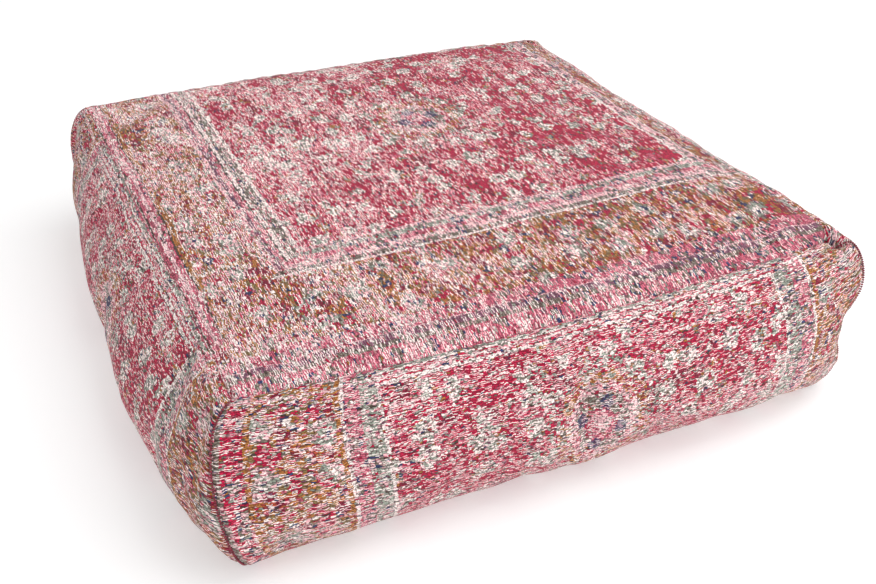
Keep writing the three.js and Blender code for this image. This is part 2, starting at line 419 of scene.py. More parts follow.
@dataclass(frozen=True)
class RugWeave(Finish):
    """A thick jacquard rug cloth of chenille yarn, washed and worn so that the pale warp shows through.

    Each thread is a row of short floats of dyed yarn. The eye sees dashes of many colours that make up
    stripes and flowers only from a distance, long pale lines where a thread is worn, and a dull, hairy
    surface.

    Attributes:
        thread: Distance from one coloured thread to the next in millimetres.
        float_length: Length of one dash of colour in millimetres.
        warp_length: Length of one dash of the pale warp between two coloured threads.
        half_across: Half the red field's size across the threads, in millimetres.
        half_along: Half its size along them.
        across: The stripes outside the field, across the threads, on the near side.
        far: The same on the far side.
        along: The stripes outside the field's ends.
        petal_reach: How far the medallion's navy petals lie from its middle.
        petal_size: Their radius.
        worn: The share of dashes that are pale.
        patchy: How much more or less of them are pale from patch to patch.
        stray: The share of dashes in a yarn of their own.
        fade: How much of that share is lost per millimetre across the threads.
        streaks: Places of threads worn pale for their whole length, across the threads.
        seed: Which scatter of colours.
    """

    thread: float
    float_length: float
    warp_length: float
    half_across: float
    half_along: float
    across: tuple[Stripe, ...]
    far: tuple[Stripe, ...]
    along: tuple[Stripe, ...]
    petal_reach: float
    petal_size: float
    worn: float
    patchy: float
    stray: float
    fade: float
    streaks: tuple[float, ...]
    seed: float

    def shade(self, tree: NodeTree) -> Node:
        """Draws the cloth on the piece's "cloth" UV map, which is in metres of flat cloth."""
        uv = add(tree, "UVMap", uv_map="cloth")
        place = add(tree, "VectorMath", {0: uv, "Scale": PER_METRE}, operation="SCALE")
        cell = self._cells(tree, place.outputs[0])
        cell["place"] = place.outputs[0]
        motif = self._stirred(tree, cell["centre"], cell["centre"], *FRAY)
        field_colour = self._field(tree, cell, motif)
        border = self._border(tree, cell, motif)
        cell["calm"] = border["calm"]
        hair = add(tree, "TexNoise", {"Vector": place, "Scale": 0.8, "Detail": 2.0, "Roughness": 0.7},
                   noise_dimensions="2D")
        cell["hair"] = hair.outputs[0]
        inside = add(tree, "Math", {0: border["depth"], 1: 0.0}, operation="LESS_THAN")
        pattern = add(tree, "Mix", {0: inside, 6: border["colour"], 7: field_colour}, data_type="RGBA")
        return self._surface(tree, cell, self._wear(tree, cell, pattern.outputs[2]))

    def _cells(self, tree: NodeTree, place: NodeSocket) -> dict:
        """Cuts the cloth into threads and dashes.

        Args:
            tree: The node tree.
            place: The place on the cloth in millimetres, x across the threads and y along them.

        Returns:
            Sockets: the dash's centre, its random numbers, its thread's, and the place within both.
        """
        moved = place
        for scale, reach in SWAYS:
            moved = self._stirred(tree, place, moved, scale, 1.0, reach)
        axes = add(tree, "SeparateXYZ", {0: moved})
        threads = add(tree, "Math", {0: axes, 1: self.thread}, operation="DIVIDE")
        thread = add(tree, "Math", {0: threads}, operation="FLOOR")
        across = add(tree, "Math", {0: threads}, operation="FRACT")
        seeds = (self.seed, self.seed)
        start, counted, dash, throws = self._dashes(
            tree, thread, axes.outputs[1], seeds, FLOAT_SPREAD, self.float_length)
        along = add(tree, "Math", {0: counted}, operation="FRACT")
        middle_x = add(tree, "Math", {0: thread, 1: self.thread, 2: self.thread / 2}, operation="MULTIPLY_ADD")
        unshifted = add(tree, "Math", {0: dash, 1: start}, operation="SUBTRACT")
        middle_y = add(tree, "Math", {0: unshifted, 1: self.float_length, 2: self.float_length / 2},
                       operation="MULTIPLY_ADD")
        centre = add(tree, "CombineXYZ", {0: middle_x, 1: middle_y})
        warp = add(tree, "Math", {0: threads}, operation="ROUND")
        warp_seeds = (self.seed + 211.5, self.seed + 0.5)
        *_, warp_throws = self._dashes(tree, warp, axes.outputs[1], warp_seeds, WARP_SPREAD, self.warp_length)
        return {
            "centre": centre.outputs[0], "x": middle_x.outputs[0], "y": axes.outputs[1],
            "a": throws.outputs[0], "b": throws.outputs[1], "c": throws.outputs[2],
            "across": across.outputs[0], "along": along.outputs[0],
            "warp_a": warp_throws.outputs[0], "warp_b": warp_throws.outputs[1],
        }

    def _dashes(self, tree: NodeTree, thread: Node, place: NodeSocket, seeds: tuple[float, float],
                spread: float, length: float) -> tuple[Node, Node, Node, Node]:
        """Cuts each thread into dashes from a random start.

        Args:
            tree: The node tree.
            thread: The thread's number.
            place: The place along it in millimetres.
            seeds: The seeds of the thread's start and of the dash's random numbers.
            spread: How many dashes the starts are spread over.
            length: Length of a dash in millimetres.

        Returns:
            Nodes: the start, the place counted in dashes, the dash's number and its three random numbers.
        """
        key = add(tree, "Math", {0: thread, 1: seeds[0]}, operation="ADD")
        chance = add(tree, "TexWhiteNoise", {"W": key}, noise_dimensions="1D")
        start = add(tree, "Math", {0: chance, 1: spread}, operation="MULTIPLY")
        dashes = add(tree, "Math", {0: place, 1: length}, operation="DIVIDE")
        counted = add(tree, "Math", {0: dashes, 1: start}, operation="ADD")
        dash = add(tree, "Math", {0: counted}, operation="FLOOR")
        cell = add(tree, "CombineXYZ", {0: thread, 1: dash, 2: seeds[1]})
        noise = add(tree, "TexWhiteNoise", {"Vector": cell}, noise_dimensions="3D")
        throws = add(tree, "SeparateColor", {0: noise.outputs["Color"]})
        return start, counted, dash, throws

    def _stirred(self, tree: NodeTree, place: NodeSocket, moved: NodeSocket, scale: float, detail: float,
                 reach: tuple[float, float]) -> NodeSocket:
        """Moves a place about by a smooth noise.

        Args:
            tree: The node tree.
            place: Where the noise is read, in millimetres.
            moved: The place to move.
            scale: The noise's waves per millimetre.
            detail: Its octaves.
            reach: How far it moves the place across and along the threads.

        Returns:
            The moved place.
        """
        sway = add(tree, "TexNoise", {"Vector": place, "Scale": scale, "Detail": detail}, noise_dimensions="2D")
        level = add(tree, "VectorMath", {0: sway.outputs["Color"], 1: (0.5, 0.5, 0.5)}, operation="SUBTRACT")
        stirred = add(tree, "VectorMath", {0: level, 1: (*reach, 0.0), 2: moved}, operation="MULTIPLY_ADD")
        return stirred.outputs[0]

    def _flowers(self, tree: NodeTree, motif: NodeSocket, below: NodeSocket, flower: Flower) -> NodeSocket:
        """Scatters flowers over a colour.

        Args:
            tree: The node tree.
            motif: Where the dash reads the design.
            below: The colour between the flowers.
            flower: The flower.

        Returns:
            The colour socket.
        """
        spots = add(tree, "TexVoronoi", {"Vector": motif, "Scale": 1 / flower.spacing, "Randomness": 0.8},
                    voronoi_dimensions="2D")
        rings = set_stops(add(tree, "ValToRGB", {0: spots.outputs["Distance"]}), flower.petals)
        near = add(tree, "Math", {0: spots.outputs["Distance"], 1: flower.reach}, operation="LESS_THAN")
        lot = add(tree, "SeparateColor", {0: spots.outputs["Color"]})
        chosen = add(tree, "Math", {0: lot, 1: flower.share}, operation="LESS_THAN")
        drawn = add(tree, "Math", {0: near, 1: chosen}, operation="MULTIPLY")
        laid = add(tree, "Mix", {0: drawn, 6: below, 7: rings}, data_type="RGBA")
        return laid.outputs[2]

    def _ground(self, tree: NodeTree, motif: NodeSocket, size: float,
                patches: list[tuple[float, Yarn]]) -> NodeSocket:
        """The mottled colour behind the flowers, from irregular patches about the given size in millimetres."""
        noise = add(tree, "TexNoise", {"Vector": motif, "Scale": 1 / size, "Detail": 2.0, "Roughness": 0.6},
                    noise_dimensions="2D")
        ramp = set_stops(add(tree, "ValToRGB", {0: noise}), patches)
        return ramp.outputs[0]

    def _field(self, tree: NodeTree, cell: dict, motif: NodeSocket) -> NodeSocket:
        """The red field: scattered sage and cream blossoms, and a medallion with four navy petals.

        Args:
            tree: The node tree.
            cell: The sockets of the dash.
            motif: Where the dash reads the design.

        Returns:
            The colour socket.
        """
        ground = self._ground(tree, motif, 30.0, [
            (0.0, Yarn.MADDER), (0.36, Yarn.CRIMSON), (0.6, Yarn.ROSE), (0.66, Yarn.CRIMSON)])
        buds = self._flowers(tree, motif, ground, BUD)
        blossoms = self._flowers(tree, motif, buds, BLOSSOM)
        return self._medallion(tree, cell, motif, blossoms)

    def _medallion(self, tree: NodeTree, cell: dict, motif: NodeSocket, below: NodeSocket) -> NodeSocket:
        """Lays the medallion over the field at the cloth's origin.

        Args:
            tree: The node tree.
            cell: The sockets of the dash.
            motif: Where the dash reads the design.
            below: The field's colour.

        Returns:
            The colour socket.
        """
        reach = add(tree, "VectorMath", {0: motif}, operation="LENGTH")
        share = add(tree, "Math", {0: reach.outputs["Value"], 1: MEDALLION_RADIUS}, operation="DIVIDE")
        rings = set_stops(add(tree, "ValToRGB", {0: share}),
                          [(0.0, Yarn.BLUSH), (0.1, Yarn.ROSE), (0.2, Yarn.SLATE), (0.34, Yarn.BLUSH),
                           (0.46, Yarn.OCHRE), (0.6, Yarn.SAGE), (0.72, Yarn.SLATE), (0.84, Yarn.ROSE)])
        near = add(tree, "MapRange",
                   {0: reach.outputs["Value"], 1: MEDALLION_CORE, 2: MEDALLION_RADIUS, 3: 0.9, 4: 0.0})
        kept = add(tree, "Math", {0: cell["a"], 1: near}, operation="LESS_THAN")
        ringed = add(tree, "Mix", {0: kept, 6: below, 7: rings}, data_type="RGBA")
        turned = add(tree, "VectorRotate", {"Vector": cell["centre"], "Angle": PETAL_TURN}, rotation_type="Z_AXIS")
        folded = add(tree, "VectorMath", {0: turned}, operation="ABSOLUTE")
        sides = add(tree, "SeparateXYZ", {0: folded})
        far = add(tree, "Math", {0: sides, 1: sides.outputs[1]}, operation="MAXIMUM")
        close = add(tree, "Math", {0: sides, 1: sides.outputs[1]}, operation="MINIMUM")
        spot = add(tree, "CombineXYZ", {0: far, 1: close})
        gap = add(tree, "VectorMath", {0: spot, 1: (self.petal_reach, 0, 0)}, operation="DISTANCE")
        navy = add(tree, "Math", {0: gap.outputs["Value"], 1: self.petal_size}, operation="LESS_THAN")
        cell["petal"] = navy.outputs[0]
        return ringed.outputs[2]

    def _border(self, tree: NodeTree, cell: dict, motif: NodeSocket) -> dict:
        """The stripes and the flowered bands round the field.

        Args:
            tree: The node tree.
            cell: The sockets of the dash.
            motif: Where the dash reads the design.

        Returns:
            Sockets: the colour, the depth into the border, below 0 inside the field, and 1 on plain stripes.
        """
        found = []
        for axis, half, stripes in (("x", self.half_across, self.across), ("x", self.half_across, self.far),
                                    ("y", self.half_along, self.along)):
            width = stripes[-1][0] * 1.25
            size = add(tree, "Math", {0: cell[axis]}, operation="ABSOLUTE")
            depth = add(tree, "Math", {0: size, 1: half}, operation="SUBTRACT")
            share = add(tree, "Math", {0: depth, 1: width}, operation="DIVIDE")
            stops = [(start / width, (*yarn.dye[:3], figure.value)) for start, yarn, figure in stripes]
            ramp = set_stops(add(tree, "ValToRGB", {0: share}), stops)
            found.append((depth.outputs[0], ramp))
        (side, near_ramp), (_, far_ramp), (end, end_ramp) = found
        at_far = add(tree, "Math", {0: cell["x"], 1: 0.0}, operation="GREATER_THAN")
        side_ramp = add(tree, "Mix", {0: at_far, 6: near_ramp, 7: far_ramp}, data_type="RGBA")
        side_figure = add(tree, "Mix", {0: at_far, 2: near_ramp.outputs[1], 3: far_ramp.outputs[1]},
                          data_type="FLOAT")
        at_end = add(tree, "Math", {0: end, 1: side}, operation="GREATER_THAN")
        stripe = add(tree, "Mix", {0: at_end, 6: side_ramp.outputs[2], 7: end_ramp}, data_type="RGBA")
        figure = add(tree, "Mix", {0: at_end, 2: side_figure, 3: end_ramp.outputs[1]}, data_type="FLOAT")
        beaded = add(tree, "Math", {0: figure, 1: BEADED.value, 2: 0.1}, operation="COMPARE")
        flowery = add(tree, "Math", {0: figure, 1: FLOWERED.value, 2: 0.1}, operation="COMPARE")
        beads = self._flowers(tree, cell["centre"], stripe.outputs[2], BEAD)
        strung = add(tree, "Mix", {0: beaded, 6: stripe.outputs[2], 7: beads}, data_type="RGBA")
        depth = add(tree, "Math", {0: side, 1: end}, operation="MAXIMUM")
        ground = self._ground(tree, motif, 17.0, [
            (0.0, Yarn.MADDER), (0.38, Yarn.RUST), (0.44, Yarn.OCHRE), (0.53, Yarn.MOSS), (0.6, Yarn.CRIMSON)])
        sprigs = self._flowers(tree, motif, ground, SPRIG)
        flowered = self._flowers(tree, motif, sprigs, ROSETTE)
        mixed = add(tree, "Mix", {0: flowery, 6: strung.outputs[2], 7: flowered}, data_type="RGBA")
        outside = add(tree, "Math", {0: depth, 1: 0.0}, operation="GREATER_THAN")
        plain = add(tree, "Math", {0: figure, 1: 0.25}, operation="LESS_THAN")
        calm = add(tree, "Math", {0: outside, 1: plain}, operation="MULTIPLY")
        return {"colour": mixed.outputs[2], "depth": depth.outputs[0], "calm": calm.outputs[0]}

    def _wear(self, tree: NodeTree, cell: dict, pattern: NodeSocket) -> NodeSocket:
        """Scatters odd dashes, washes patches out to the pale warp and draws worn threads as long pale lines.

        Args:
            tree: The node tree.
            cell: The sockets of the dash.
            pattern: The design's colour.

        Returns:
            The dash's colour.
        """
        stray = set_stops(add(tree, "ValToRGB", {0: cell["b"]}),
                          [(0.0, Yarn.SAGE), (0.14, Yarn.SLATE), (0.28, Yarn.PEAT), (0.42, Yarn.CRIMSON),
                           (0.66, Yarn.MAUVE), (0.76, Yarn.NAVY), (0.82, Yarn.OCHRE), (0.9, Yarn.ROSE)])
        is_stray = add(tree, "Math", {0: cell["c"], 1: self.stray}, operation="LESS_THAN")
        scattered = add(tree, "Mix", {0: is_stray, 6: pattern, 7: stray}, data_type="RGBA")
        stretched = add(tree, "Mapping", {"Vector": cell["centre"], "Scale": (0.08, 0.014, 1.0)},
                        vector_type="POINT")
        streaks = add(tree, "TexNoise", {"Vector": stretched, "Scale": 1.0, "Detail": 2.0}, noise_dimensions="2D")
        patches = add(tree, "TexNoise", {"Vector": cell["centre"], "Scale": 0.014, "Detail": 2.0},
                      noise_dimensions="2D")
        both = add(tree, "Math", {0: patches, 1: streaks}, operation="ADD")
        chance = add(tree, "MapRange",
                     {0: both, 1: 0.65, 2: 1.35, 3: self.worn - self.patchy, 4: self.worn + self.patchy},
                     clamp=False)
        faded = add(tree, "Math", {0: cell["x"], 1: -self.fade, 2: chance}, operation="MULTIPLY_ADD")
        calmed = add(tree, "Math", {0: cell["calm"], 1: -0.14, 2: faded}, operation="MULTIPLY_ADD")
        span = 2 * (self.half_across + self.across[-1][0] + 20)
        stops = [(0.0, (0, 0, 0, 1))]
        for streak in self.streaks:
            stops += [(0.5 + (streak - self.thread / 2) / span, (1, 1, 1, 1)),
                      (0.5 + (streak + self.thread / 2) / span, (0, 0, 0, 1))]
        spread = add(tree, "MapRange", {0: cell["x"], 1: -span / 2, 2: span / 2, 3: 0.0, 4: 1.0})
        line = set_stops(add(tree, "ValToRGB", {0: spread}), stops)
        lined = add(tree, "Math", {0: line, 1: 0.7, 2: calmed}, operation="MULTIPLY_ADD")
        dash_chance = add(tree, "Math", {0: lined, 1: 0.8, 2: -0.14}, operation="MULTIPLY_ADD")
        washed = add(tree, "Math", {0: cell["a"], 1: dash_chance}, operation="LESS_THAN")
        tone = add(tree, "MapRange", {0: cell["c"], 1: 0.0, 2: 1.0, 3: 0.68, 4: 1.16})
        pale = set_stops(add(tree, "ValToRGB", {0: cell["b"]}),
                         [(0.0, Yarn.CREAM), (0.42, Yarn.BLUSH), (0.74, Yarn.ROSE)])
        part = add(tree, "Math", {0: washed, 1: 0.88}, operation="MULTIPLY")
        bleached = add(tree, "Mix", {0: part, 6: scattered.outputs[2], 7: pale}, data_type="RGBA")
        toned = add(tree, "VectorMath", {0: bleached.outputs[2], "Scale": tone}, operation="SCALE")
        petal = add(tree, "Math", {0: cell["petal"], 1: 0.85}, operation="MULTIPLY")
        petalled = add(tree, "Mix", {0: petal, 6: toned, 7: Yarn.NAVY.dye}, data_type="RGBA")
        return self._warp(tree, cell, petalled.outputs[2], lined.outputs[0])

    def _warp(self, tree: NodeTree, cell: dict, colour: NodeSocket,
              chance: NodeSocket) -> NodeSocket:
        """Draws the pale warp as thin broken lines between the coloured threads.

        Args:
            tree: The node tree.
            cell: The sockets of the dash. The warp's own cover is added to them.
            colour: The coloured thread's colour.
            chance: How likely the warp is to show, from 0 to 1.

        Returns:
            The colour socket.
        """
        off = add(tree, "Math", {0: cell["across"], 1: 0.5}, operation="SUBTRACT")
        side = add(tree, "Math", {0: off}, operation="ABSOLUTE")
        cell["side"] = side.outputs[0]
        ragged = add(tree, "Math", {0: cell["hair"], 1: 0.3, 2: side}, operation="MULTIPLY_ADD")
        edge = add(tree, "MapRange", {0: ragged, 1: 0.4, 2: 0.5, 3: 0.0, 4: 1.0}, interpolation_type="SMOOTHSTEP")
        likely = add(tree, "Math", {0: chance, 1: 0.22}, operation="ADD")
        shows = add(tree, "Math", {0: cell["warp_a"], 1: likely}, operation="LESS_THAN")
        cover = add(tree, "Math", {0: edge, 1: shows}, operation="MULTIPLY")
        cell["warp"] = cover.outputs[0]
        yarn = set_stops(add(tree, "ValToRGB", {0: cell["warp_b"]}),
                         [(0.0, Yarn.CREAM), (0.62, Yarn.BLUSH), (0.88, Yarn.SAGE)])
        part = add(tree, "Math", {0: cover, 1: 0.94}, operation="MULTIPLY")
        drawn = add(tree, "Mix", {0: part, 6: colour, 7: yarn}, data_type="RGBA")
        return drawn.outputs[2]

    def _surface(self, tree: NodeTree, cell: dict, colour: NodeSocket) -> Node:
        """Rounds the threads, paints a highlight on their crowns and paints shade at their sides, at the dashes'
        ends and in scattered gaps between them.

        Args:
            tree: The node tree.
            cell: The sockets of the dash.
            colour: The dash's colour.

        Returns:
            The shader.
        """
        end_off = add(tree, "Math", {0: cell["along"], 1: 0.5}, operation="SUBTRACT")
        end = add(tree, "Math", {0: end_off}, operation="ABSOLUTE")
        end_dip = add(tree, "MapRange", {0: end, 1: 0.34, 2: 0.5, 3: 1.0, 4: 0.35},
                      interpolation_type="SMOOTHSTEP")
        crown = add(tree, "MapRange", {0: cell["side"], 1: 0.1, 2: 0.46, 3: 1.0, 4: 0.0},
                    interpolation_type="SMOOTHSTEP")
        round_off = add(tree, "Math", {0: crown, 1: end_dip}, operation="MULTIPLY")
        raised = add(tree, "Math", {0: round_off, 1: cell["warp"]}, operation="MAXIMUM")
        height = add(tree, "Math", {0: cell["hair"], 1: 0.9, 2: raised}, operation="MULTIPLY_ADD")
        # Painted light and shade: the threads' height, with the hair noise on it, brightens the colour on their
        # crowns and darkens it at their sides and at the dashes' ends.
        shade = add(tree, "MapRange", {0: height, 1: 0.25, 2: 1.4, 3: 0.34, 4: 1.28})
        shaded = add(tree, "VectorMath", {0: colour, "Scale": shade}, operation="SCALE")
        # Painted shadow: scattered gaps between the stitches are darkened towards Yarn.SHADE.
        gaps = add(tree, "TexNoise", {"Vector": cell["place"], "Scale": 0.5, "Detail": 1.0}, noise_dimensions="2D")
        gap = add(tree, "MapRange", {0: gaps, 1: 0.35, 2: 0.44, 3: 0.72, 4: 0.0}, interpolation_type="SMOOTHSTEP")
        gap_shaded = add(tree, "Mix", {0: gap, 6: shaded, 7: Yarn.SHADE.dye}, data_type="RGBA")
        bump = add(tree, "Bump", {"Strength": 0.8, "Distance": 0.0007, "Height": height})
        return add(tree, "BsdfPrincipled",
                   {"Base Color": gap_shaded.outputs[2], "Roughness": 0.92, "Specular IOR Level": 0.2,
                    "Sheen Weight": 0.12, "Sheen Roughness": 0.5, "Normal": bump})


@dataclass(frozen=True)
class PlainWeave(Finish):
    """A plain cotton or polyester weave: even threads over and under, dull, with slubs of a paler thread and
    painted shade between the threads.

    Attributes:
        colour: The thread's colour.
        shadow: The painted shade between threads.
        pitch: Distance between threads in millimetres.
        relief: How high the threads stand, in millimetres.
    """

    colour: str
    shadow: str
    pitch: float
    relief: float

    def shade(self, tree: NodeTree) -> Node:
        """Draws the threads by their pitch on Object coordinates, with painted shade between them."""
        place = add(tree, "TexCoord")
        scaled = add(tree, "VectorMath", {0: place.outputs["Object"], "Scale": 1000 * math.pi / self.pitch},
                     operation="SCALE")
        waves = add(tree, "VectorMath", {0: scaled}, operation="SINE")
        axes = add(tree, "SeparateXYZ", {0: waves})
        first = add(tree, "Math", {0: axes, 1: axes.outputs[1]}, operation="MULTIPLY")
        second = add(tree, "Math", {0: first, 1: axes.outputs[2]}, operation="ADD")
        slub = add(tree, "TexNoise", {"Vector": place.outputs["Object"], "Scale": 90.0, "Detail": 4.0})
        height = add(tree, "Math", {0: slub, 1: 1.6, 2: second}, operation="MULTIPLY_ADD")
        # Painted shade: the colour darkens towards the shadow colour where the threads dip between each other; the
        # slubs lift it towards the thread's colour.
        tone = add(tree, "MapRange", {0: height, 1: -1.0, 2: 2.4, 3: 0.0, 4: 1.0})
        colour = add(tree, "Mix", {0: tone, 6: linear(self.shadow), 7: linear(self.colour)}, data_type="RGBA")
        bump = add(tree, "Bump", {"Strength": 0.6, "Distance": self.relief * MM, "Height": height})
        return add(tree, "BsdfPrincipled",
                   {"Base Color": colour.outputs[2], "Roughness": 0.9, "Specular IOR Level": 0.25,
                    "Sheen Weight": 0.15, "Normal": bump})


@dataclass(frozen=True)
class SpunThread(Finish):
    """Spun polyester sewing thread: a tight twist, painted darker in its grooves and lighter on its turns, with a
    slight sheen.

    Attributes:
        colour: The thread's colour.
        twist: Length of one turn of the twist in millimetres.
    """

    colour: str
    twist: float

    def shade(self, tree: NodeTree) -> Node:
        """Draws the twist on Object coordinates, with painted shade in its grooves and a painted highlight on its
        turns.
        """
        place = add(tree, "TexCoord")
        turns = add(tree, "TexWave",
                    {"Vector": place.outputs["Object"], "Scale": 160.0 / self.twist, "Distortion": 1.0},
                    bands_direction="DIAGONAL")
        # Painted shade and highlight: the colour is darkened in the twist's grooves and lightened on its turns.
        tone = add(tree, "MapRange", {0: turns.outputs["Fac"], 1: 0.0, 2: 1.0, 3: 0.55, 4: 1.1})
        colour = add(tree, "VectorMath", {0: linear(self.colour)[:3], "Scale": tone}, operation="SCALE")
        bump = add(tree, "Bump", {"Strength": 0.5, "Distance": 0.0001, "Height": turns.outputs["Fac"]})
        return add(tree, "BsdfPrincipled",
                   {"Base Color": colour, "Roughness": 0.62, "Sheen Weight": 0.2, "Normal": bump})


@dataclass(frozen=True)
class Nylon(Finish):
    """Moulded nylon coil: slightly translucent plastic with a soft gloss and a mould haze.

    Attributes:
        colour: The plastic's colour.
    """

    colour: str

    def shade(self, tree: NodeTree) -> Node:
        """Draws the haze on Object coordinates."""
        place = add(tree, "TexCoord")
        haze = add(tree, "TexNoise", {"Vector": place.outputs["Object"], "Scale": 700.0, "Detail": 2.0})
        rough = add(tree, "MapRange", {0: haze, 1: 0.3, 2: 0.7, 3: 0.36, 4: 0.5})
        tone = add(tree, "MapRange", {0: haze, 1: 0.3, 2: 0.7, 3: 0.9, 4: 1.08})
        colour = add(tree, "VectorMath", {0: linear(self.colour)[:3], "Scale": tone}, operation="SCALE")
        return add(tree, "BsdfPrincipled", {"Base Color": colour, "Roughness": rough, "IOR": 1.53})


@dataclass(frozen=True)
class AntiqueBrass(Finish):
    """Cast zip metal plated in antique brass: warm and dull, darker where it was left unpolished.

    Attributes:
        bright: The rubbed metal's colour.
        dark: The patina's colour.
    """

    bright: str
    dark: str

    def shade(self, tree: NodeTree) -> Node:
        """Draws the patina on Object coordinates, rubbed off at the edges."""
        place = add(tree, "TexCoord")
        grime = add(tree, "TexNoise", {"Vector": place.outputs["Object"], "Scale": 260.0, "Detail": 5.0})
        edge = add(tree, "NewGeometry")
        rubbed = add(tree, "MapRange", {0: edge.outputs["Pointiness"], 1: 0.49, 2: 0.56, 3: 0.0, 4: 0.5})
        both = add(tree, "Math", {0: grime, 1: rubbed}, operation="ADD", use_clamp=True)
        colour = add(tree, "Mix", {0: both, 6: linear(self.dark), 7: linear(self.bright)}, data_type="RGBA")
        rough = add(tree, "MapRange", {0: both, 1: 0.2, 2: 0.9, 3: 0.5, 4: 0.28})
        return add(tree, "BsdfPrincipled", {"Base Color": colour.outputs[2], "Metallic": 1.0, "Roughness": rough})


@dataclass(frozen=True)
class LooseFibre(Finish):
    """Carded polyester fibre: white, matt and tangled, with painted shade in the hollows between its tufts.

    Attributes:
        colour: The fibre's colour.
        hollow: The painted shade between tufts.
    """

    colour: str
    hollow: str

    def shade(self, tree: NodeTree) -> Node:
        """Draws the tufts on Object coordinates, with painted shade between them."""
        place = add(tree, "TexCoord")
        tufts = add(tree, "TexVoronoi", {"Vector": place.outputs["Object"], "Scale": 45.0}, feature="SMOOTH_F1")
        strands = add(tree, "TexNoise",
                      {"Vector": place.outputs["Object"], "Scale": 500.0, "Detail": 6.0, "Distortion": 2.0})
        height = add(tree, "Math", {0: strands, 1: 0.3, 2: tufts.outputs["Distance"]}, operation="MULTIPLY_ADD")
        # Painted shade: the colour darkens towards the hollow colour away from the tufts' middles.
        colour = add(tree, "Mix", {0: height, 6: linear(self.colour), 7: linear(self.hollow)}, data_type="RGBA")
        bump = add(tree, "Bump", {"Strength": 0.8, "Distance": 0.004, "Height": height}, invert=True)
        return add(tree, "BsdfPrincipled",
                   {"Base Color": colour.outputs[2], "Roughness": 0.95, "Sheen Weight": 0.3,
                    "Subsurface Weight": 0.1, "Normal": bump})


# ---- The cushion's form ---------------------------------------------------------------------------------


class Side(Enum):
    """The walls, in order round the cushion from the front, as quarter turns."""

    FRONT = 0
    RIGHT = 1
    BACK = 2
    LEFT = 3


@dataclass(frozen=True)
class Corner:
    """How one corner of the stuffed cover stands, in millimetres.

    Attributes:
        seam: How far its top seam point lies from the square's own corner.
        shoulder: How far the corner swells outwards in x and y below the top seam.
        foot: How far it swells outwards in x and y above the floor.
        base: How far its base seam point lies from the square's own corner.
    """

    seam: tuple[float, float, float]
    shoulder: tuple[float, float]
    foot: tuple[float, float]
    base: tuple[float, float]


@dataclass(frozen=True)
class Wall:
    """How one wall of the stuffed cover stands, in millimetres.

    Attributes:
        shoulder: How far it swells at its middle below the top seam.
        belly: How far it swells at its middle above the floor.
        lean: How much more it swells towards its right end, as a share.
        bow: How far the middle of its top seam lies outside the seam's ends.
        sag: How far the middle of its top seam hangs below them.
        drop: How far below the top seam its shoulder pulls.
        lift: How far above the base seam its belly pulls.
    """

    shoulder: float
    belly: float
    lean: float
    bow: float
    sag: float
    drop: float = 14.6
    lift: float = -4.0


@dataclass(frozen=True)
class Dent:
    """A place where the stuffed cloth is pushed in or stands out, in millimetres.

    Attributes:
        place: Its middle.
        reach: How far from its middle it fades out.
        push: How far the cloth moves at its middle.
    """

    place: tuple[float, float, float]
    reach: float
    push: tuple[float, float, float]


